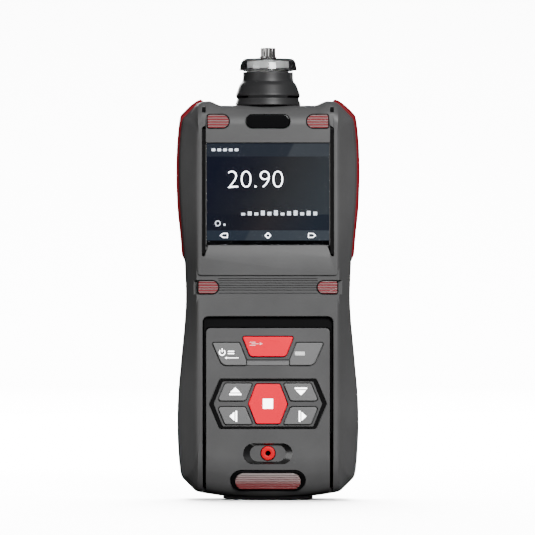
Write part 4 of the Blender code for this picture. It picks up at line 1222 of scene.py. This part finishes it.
def inletNeck():
    piece = rawObject("neck_moulding", turned(neckLook["profile"], 96))
    (inner, outer), (low, high) = neckLook["notch"]
    notch = rectangle((inner, low), (outer, high))
    cut(piece, *[prism(outline, -20, 0) for outline in bothSides(notch)])
    cut(piece, prism(neckLook["facet"], -20.0, -2.2))
    finishPiece(piece, "neck", "case", "inlet_neck", sharp=28)


def filterParts():
    low, high = boxOf("filter_holder")
    sleeve = [(8.2, low.z), (9.35, low.z), (9.5, low.z + 0.15), (9.5, high.z - 0.25), (9.3, high.z),
              (8.4, high.z), (8.2, high.z - 0.2)]
    finishPiece(rawObject("filter_sleeve", turned(sleeve, 64)), "filter", "filter_white", "filter_holder")
    low, high = boxOf("filter_disc")
    felt = [(0, low.z), (7.8, low.z), (7.9, low.z + 0.2), (7.9, high.z - 0.3), (7.6, high.z), (0, high.z)]
    finishPiece(rawObject("filter_felt", turned(felt, 64)), "filter", "filter_white", "filter_disc")
    low, high = boxOf("inlet_seal")
    middle, thick = (low.z + high.z) / 2, (high.z - low.z) / 2
    turns = [tau * k / 12 for k in range(12)]
    ring = [(high.x - thick + thick * cos(a), middle + thick * sin(a)) for a in turns]
    finishPiece(rawObject("inlet_o_ring", turned(ring, 64)), "black", "seal_black", "inlet_seal")


capSeat = boxOf("inlet_nozzle")[1].z - 10.7


def clearCap():
    profile = [(2.4, 4.8), (11.3, 4.8), (11.8, 4.3), (12.0, 0.75), (12.15, 0.6), (12.95, 0.6), (13.1, 0.75),
               (13.0, 1.5), (12.6, 3.6), (12.35, 4.4), (11.9, 5.2), (11.2, 5.7), (10.6, 5.8), (2.4, 5.8)]
    piece = rawObject("cap_moulding", turned([(r, z + capSeat) for r, z in profile], 96))
    finishPiece(piece, "clear", "clear_plastic", "filter_cap", body="cap")


def flutedNozzle(flutes=12):
    # (radius, height, share of the flutes)
    top = 10.7
    levels = [(2.0, 3.6, 0), (2.0, 6.1, 0), (3.75, 6.1, 0), (3.9, 6.25, 0), (3.9, 6.65, 0), (3.75, 6.8, 0),
              (3.15, 6.8, 0.4), (3.2, 6.95, 1), (3.2, top - 0.25, 1), (3.05, top, 0.3), (1.25, top, 0),
              (1.0, top - 0.2, 0), (1.0, 3.6, 0)]
    steps = flutes * 6
    waves = [(tau * i / steps, abs(sin(pi * i / 6)) ** 0.6) for i in range(steps)]
    rings = []
    for radius, z, fluted in levels:
        reach = [(a, radius + fluted * (0.38 * wave - 0.10)) for a, wave in waves]
        rings.append([(r * cos(a), r * sin(a), z + capSeat) for a, r in reach])
    piece = rawObject("nozzle_turning", loft(rings, closed=True))
    finishPiece(piece, "nozzle", "nozzle_metal", "inlet_nozzle", body="cap")


inletNeck()
filterParts()
clearCap()
flutedNozzle()
print("inlet made")


# foot, charge flap and belt clip


def rubberFoot():
    low, high = boxOf("bottom_foot")
    flat, radius = high.x / 2, caseShape["bottomRadius"]
    places = spaced(low.x + 0.3, high.x - 0.3, 25)
    under = [(x, max(0.0, (x * x - flat * flat) / (2 * radius))) for x in places]
    outline = [(low.x, 1.2)] + under + [(high.x, 1.2), (high.x, high.z), (low.x, high.z)]
    small = grown(outline, -0.25)
    rings = [(small, low.y), (outline, low.y + 0.3), (outline, high.y - 0.3), (small, high.y)]
    piece = rawObject("rubber_foot", loft([[(x, y, max(z, 0.0)) for x, z in ring] for ring, y in rings]))
    finishPiece(piece, "black", "seal_black", "bottom_foot")


def chargeFlap():
    high = boxOf("charge_flap")[1]
    piece = rawObject("charge_flap_rubber", slab(frontOf("charge_flap", 0.9), high.y, 16.95, 0.3))
    weld(piece, prism(rectangle((-5.0, 10.2), (5.0, 14.2), 1.0), 15.2, 17.2))
    pull = cutter(moved(stadium(6.0, 1.1, 6), 0, high.z - 1.5), high.y, high.y - 0.35, 0.15)
    cut(piece, pull)
    finishPiece(piece, "black", "seal_black", "charge_flap", body="port_flap")


rubberFoot()
chargeFlap()
print("foot and flap made")


# parts kept as the CAD has them, with finishes of their own

keptFinishes = {
    "steel": ("clip_base", "belt_clip", "clip_pin", "clip_spring", "vibration_motor", "charge_socket",
              "pump_motor"),
    "screw": ("clip_screw_1", "clip_screw_2", "case_screw_1", "case_screw_2", "case_screw_3", "case_screw_4"),
    "sensor": ("gas_sensor_1", "gas_sensor_2", "gas_sensor_3", "gas_sensor_4"),
    "hose": ("inlet_hose", "pump_hose", "exhaust_hose"),
    "block": ("pump_head", "sensor_manifold"),
    "board": ("main_board",),
    "display": ("display_module",),
    "battery": ("battery_pack",),
    "window": ("buzzer",),
}
for finishName, keptNodes in keptFinishes.items():
    for keptNode in keptNodes:
        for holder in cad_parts[keptNode].material_slots:
            holder.material = finishes[finishName]
print("inner parts finished")


# stage, light and camera

viewSettings = {"lens": 360, "sensor": 36, "frameWidth": 240.75, "aimX": -0.2, "aimZ": 105.1, "world": 0.19}


def cameraAndStage():
    camera = bpy.data.cameras.new("camera")
    camera.lens = viewSettings["lens"]
    camera.sensor_width = viewSettings["sensor"]
    holder = bpy.data.objects.new("camera", camera)
    bpy.context.scene.collection.objects.link(holder)
    distance = viewSettings["frameWidth"] * viewSettings["lens"] / viewSettings["sensor"]
    holder.location = Vector((viewSettings["aimX"], face - distance, viewSettings["aimZ"])) * unit
    holder.rotation_euler = (radians(90), 0, 0)
    bpy.context.scene.camera = holder

    curve = [(2300 + 700 * sin(a), 700 - 700.05 * cos(a)) for a in spaced(0.1, pi / 2, 14)]
    sweep = [(-3500.0, -0.05), (2300.0, -0.05)] + curve + [(3000.0, 4000.0)]
    bm = bmesh.new()
    rows = [[bm.verts.new((x, y, z)) for y, z in sweep] for x in (-4000, 4000)]
    for i in range(len(sweep) - 1):
        bm.faces.new((rows[0][i], rows[1][i], rows[1][i + 1], rows[0][i + 1]))
    floor = rawObject("paper_sweep", bm)
    floor.data.shade_smooth()
    paper = newFinish("white_paper", (0.80, 0.80, 0.80), 0.9)
    floor.data.materials.append(paper)
    floor.visible_diffuse = False  # the white paper throws no light back on the dark plastic
    floor.visible_glossy = False
    floor.visible_transmission = False

    world = bpy.data.worlds.new("studio")
    bpy.context.scene.world = world
    world.use_nodes = True
    background = world.node_tree.nodes["Background"]
    background.inputs["Strength"].default_value = viewSettings["world"]
    # light from above the table only
    _, parts = ownPlace(world, "Generated")
    tones = addNode(world, "ValToRGB")
    tones.color_ramp.elements[1].position = 0.35
    feed(parts, "Z", tones, "Fac")
    feed(tones, "Color", background, "Color")


def softbox(name, place, size, power, aim=(0, 0, 0.1), spread=180, only=None, unseen=False):
    light = bpy.data.lights.new(name, "AREA")
    light.shape = "RECTANGLE"
    light.size, light.size_y = size
    light.energy = power
    light.spread = radians(spread)
    holder = bpy.data.objects.new(name, light)
    bpy.context.scene.collection.objects.link(holder)
    holder.location = place
    holder.rotation_euler = (Vector(place) - Vector(aim)).to_track_quat("Z", "Y").to_euler()
    holder.visible_camera = not unseen
    holder.visible_transmission = not unseen
    if only:
        reach = bpy.data.collections.new(name + "_reach")
        reach.objects.link(bpy.data.objects[only])
        holder.light_linking.receiver_collection = reach


cameraAndStage()
softbox("key_light", (0.34, -1.0, 0.60), (0.50, 0.42), 35)
softbox("paper_light", (0, 1.4, 2.4), (2.4, 2.8), 1300, (0, 1.4, 0), 160, "paper_sweep", unseen=True)
softbox("left_fill", (-0.9, -0.75, 0.25), (0.6, 0.8), 6)
softbox("back_light", (-0.25, 1.3, 0.42), (0.6, 0.5), 32, unseen=True)
print("stage set")
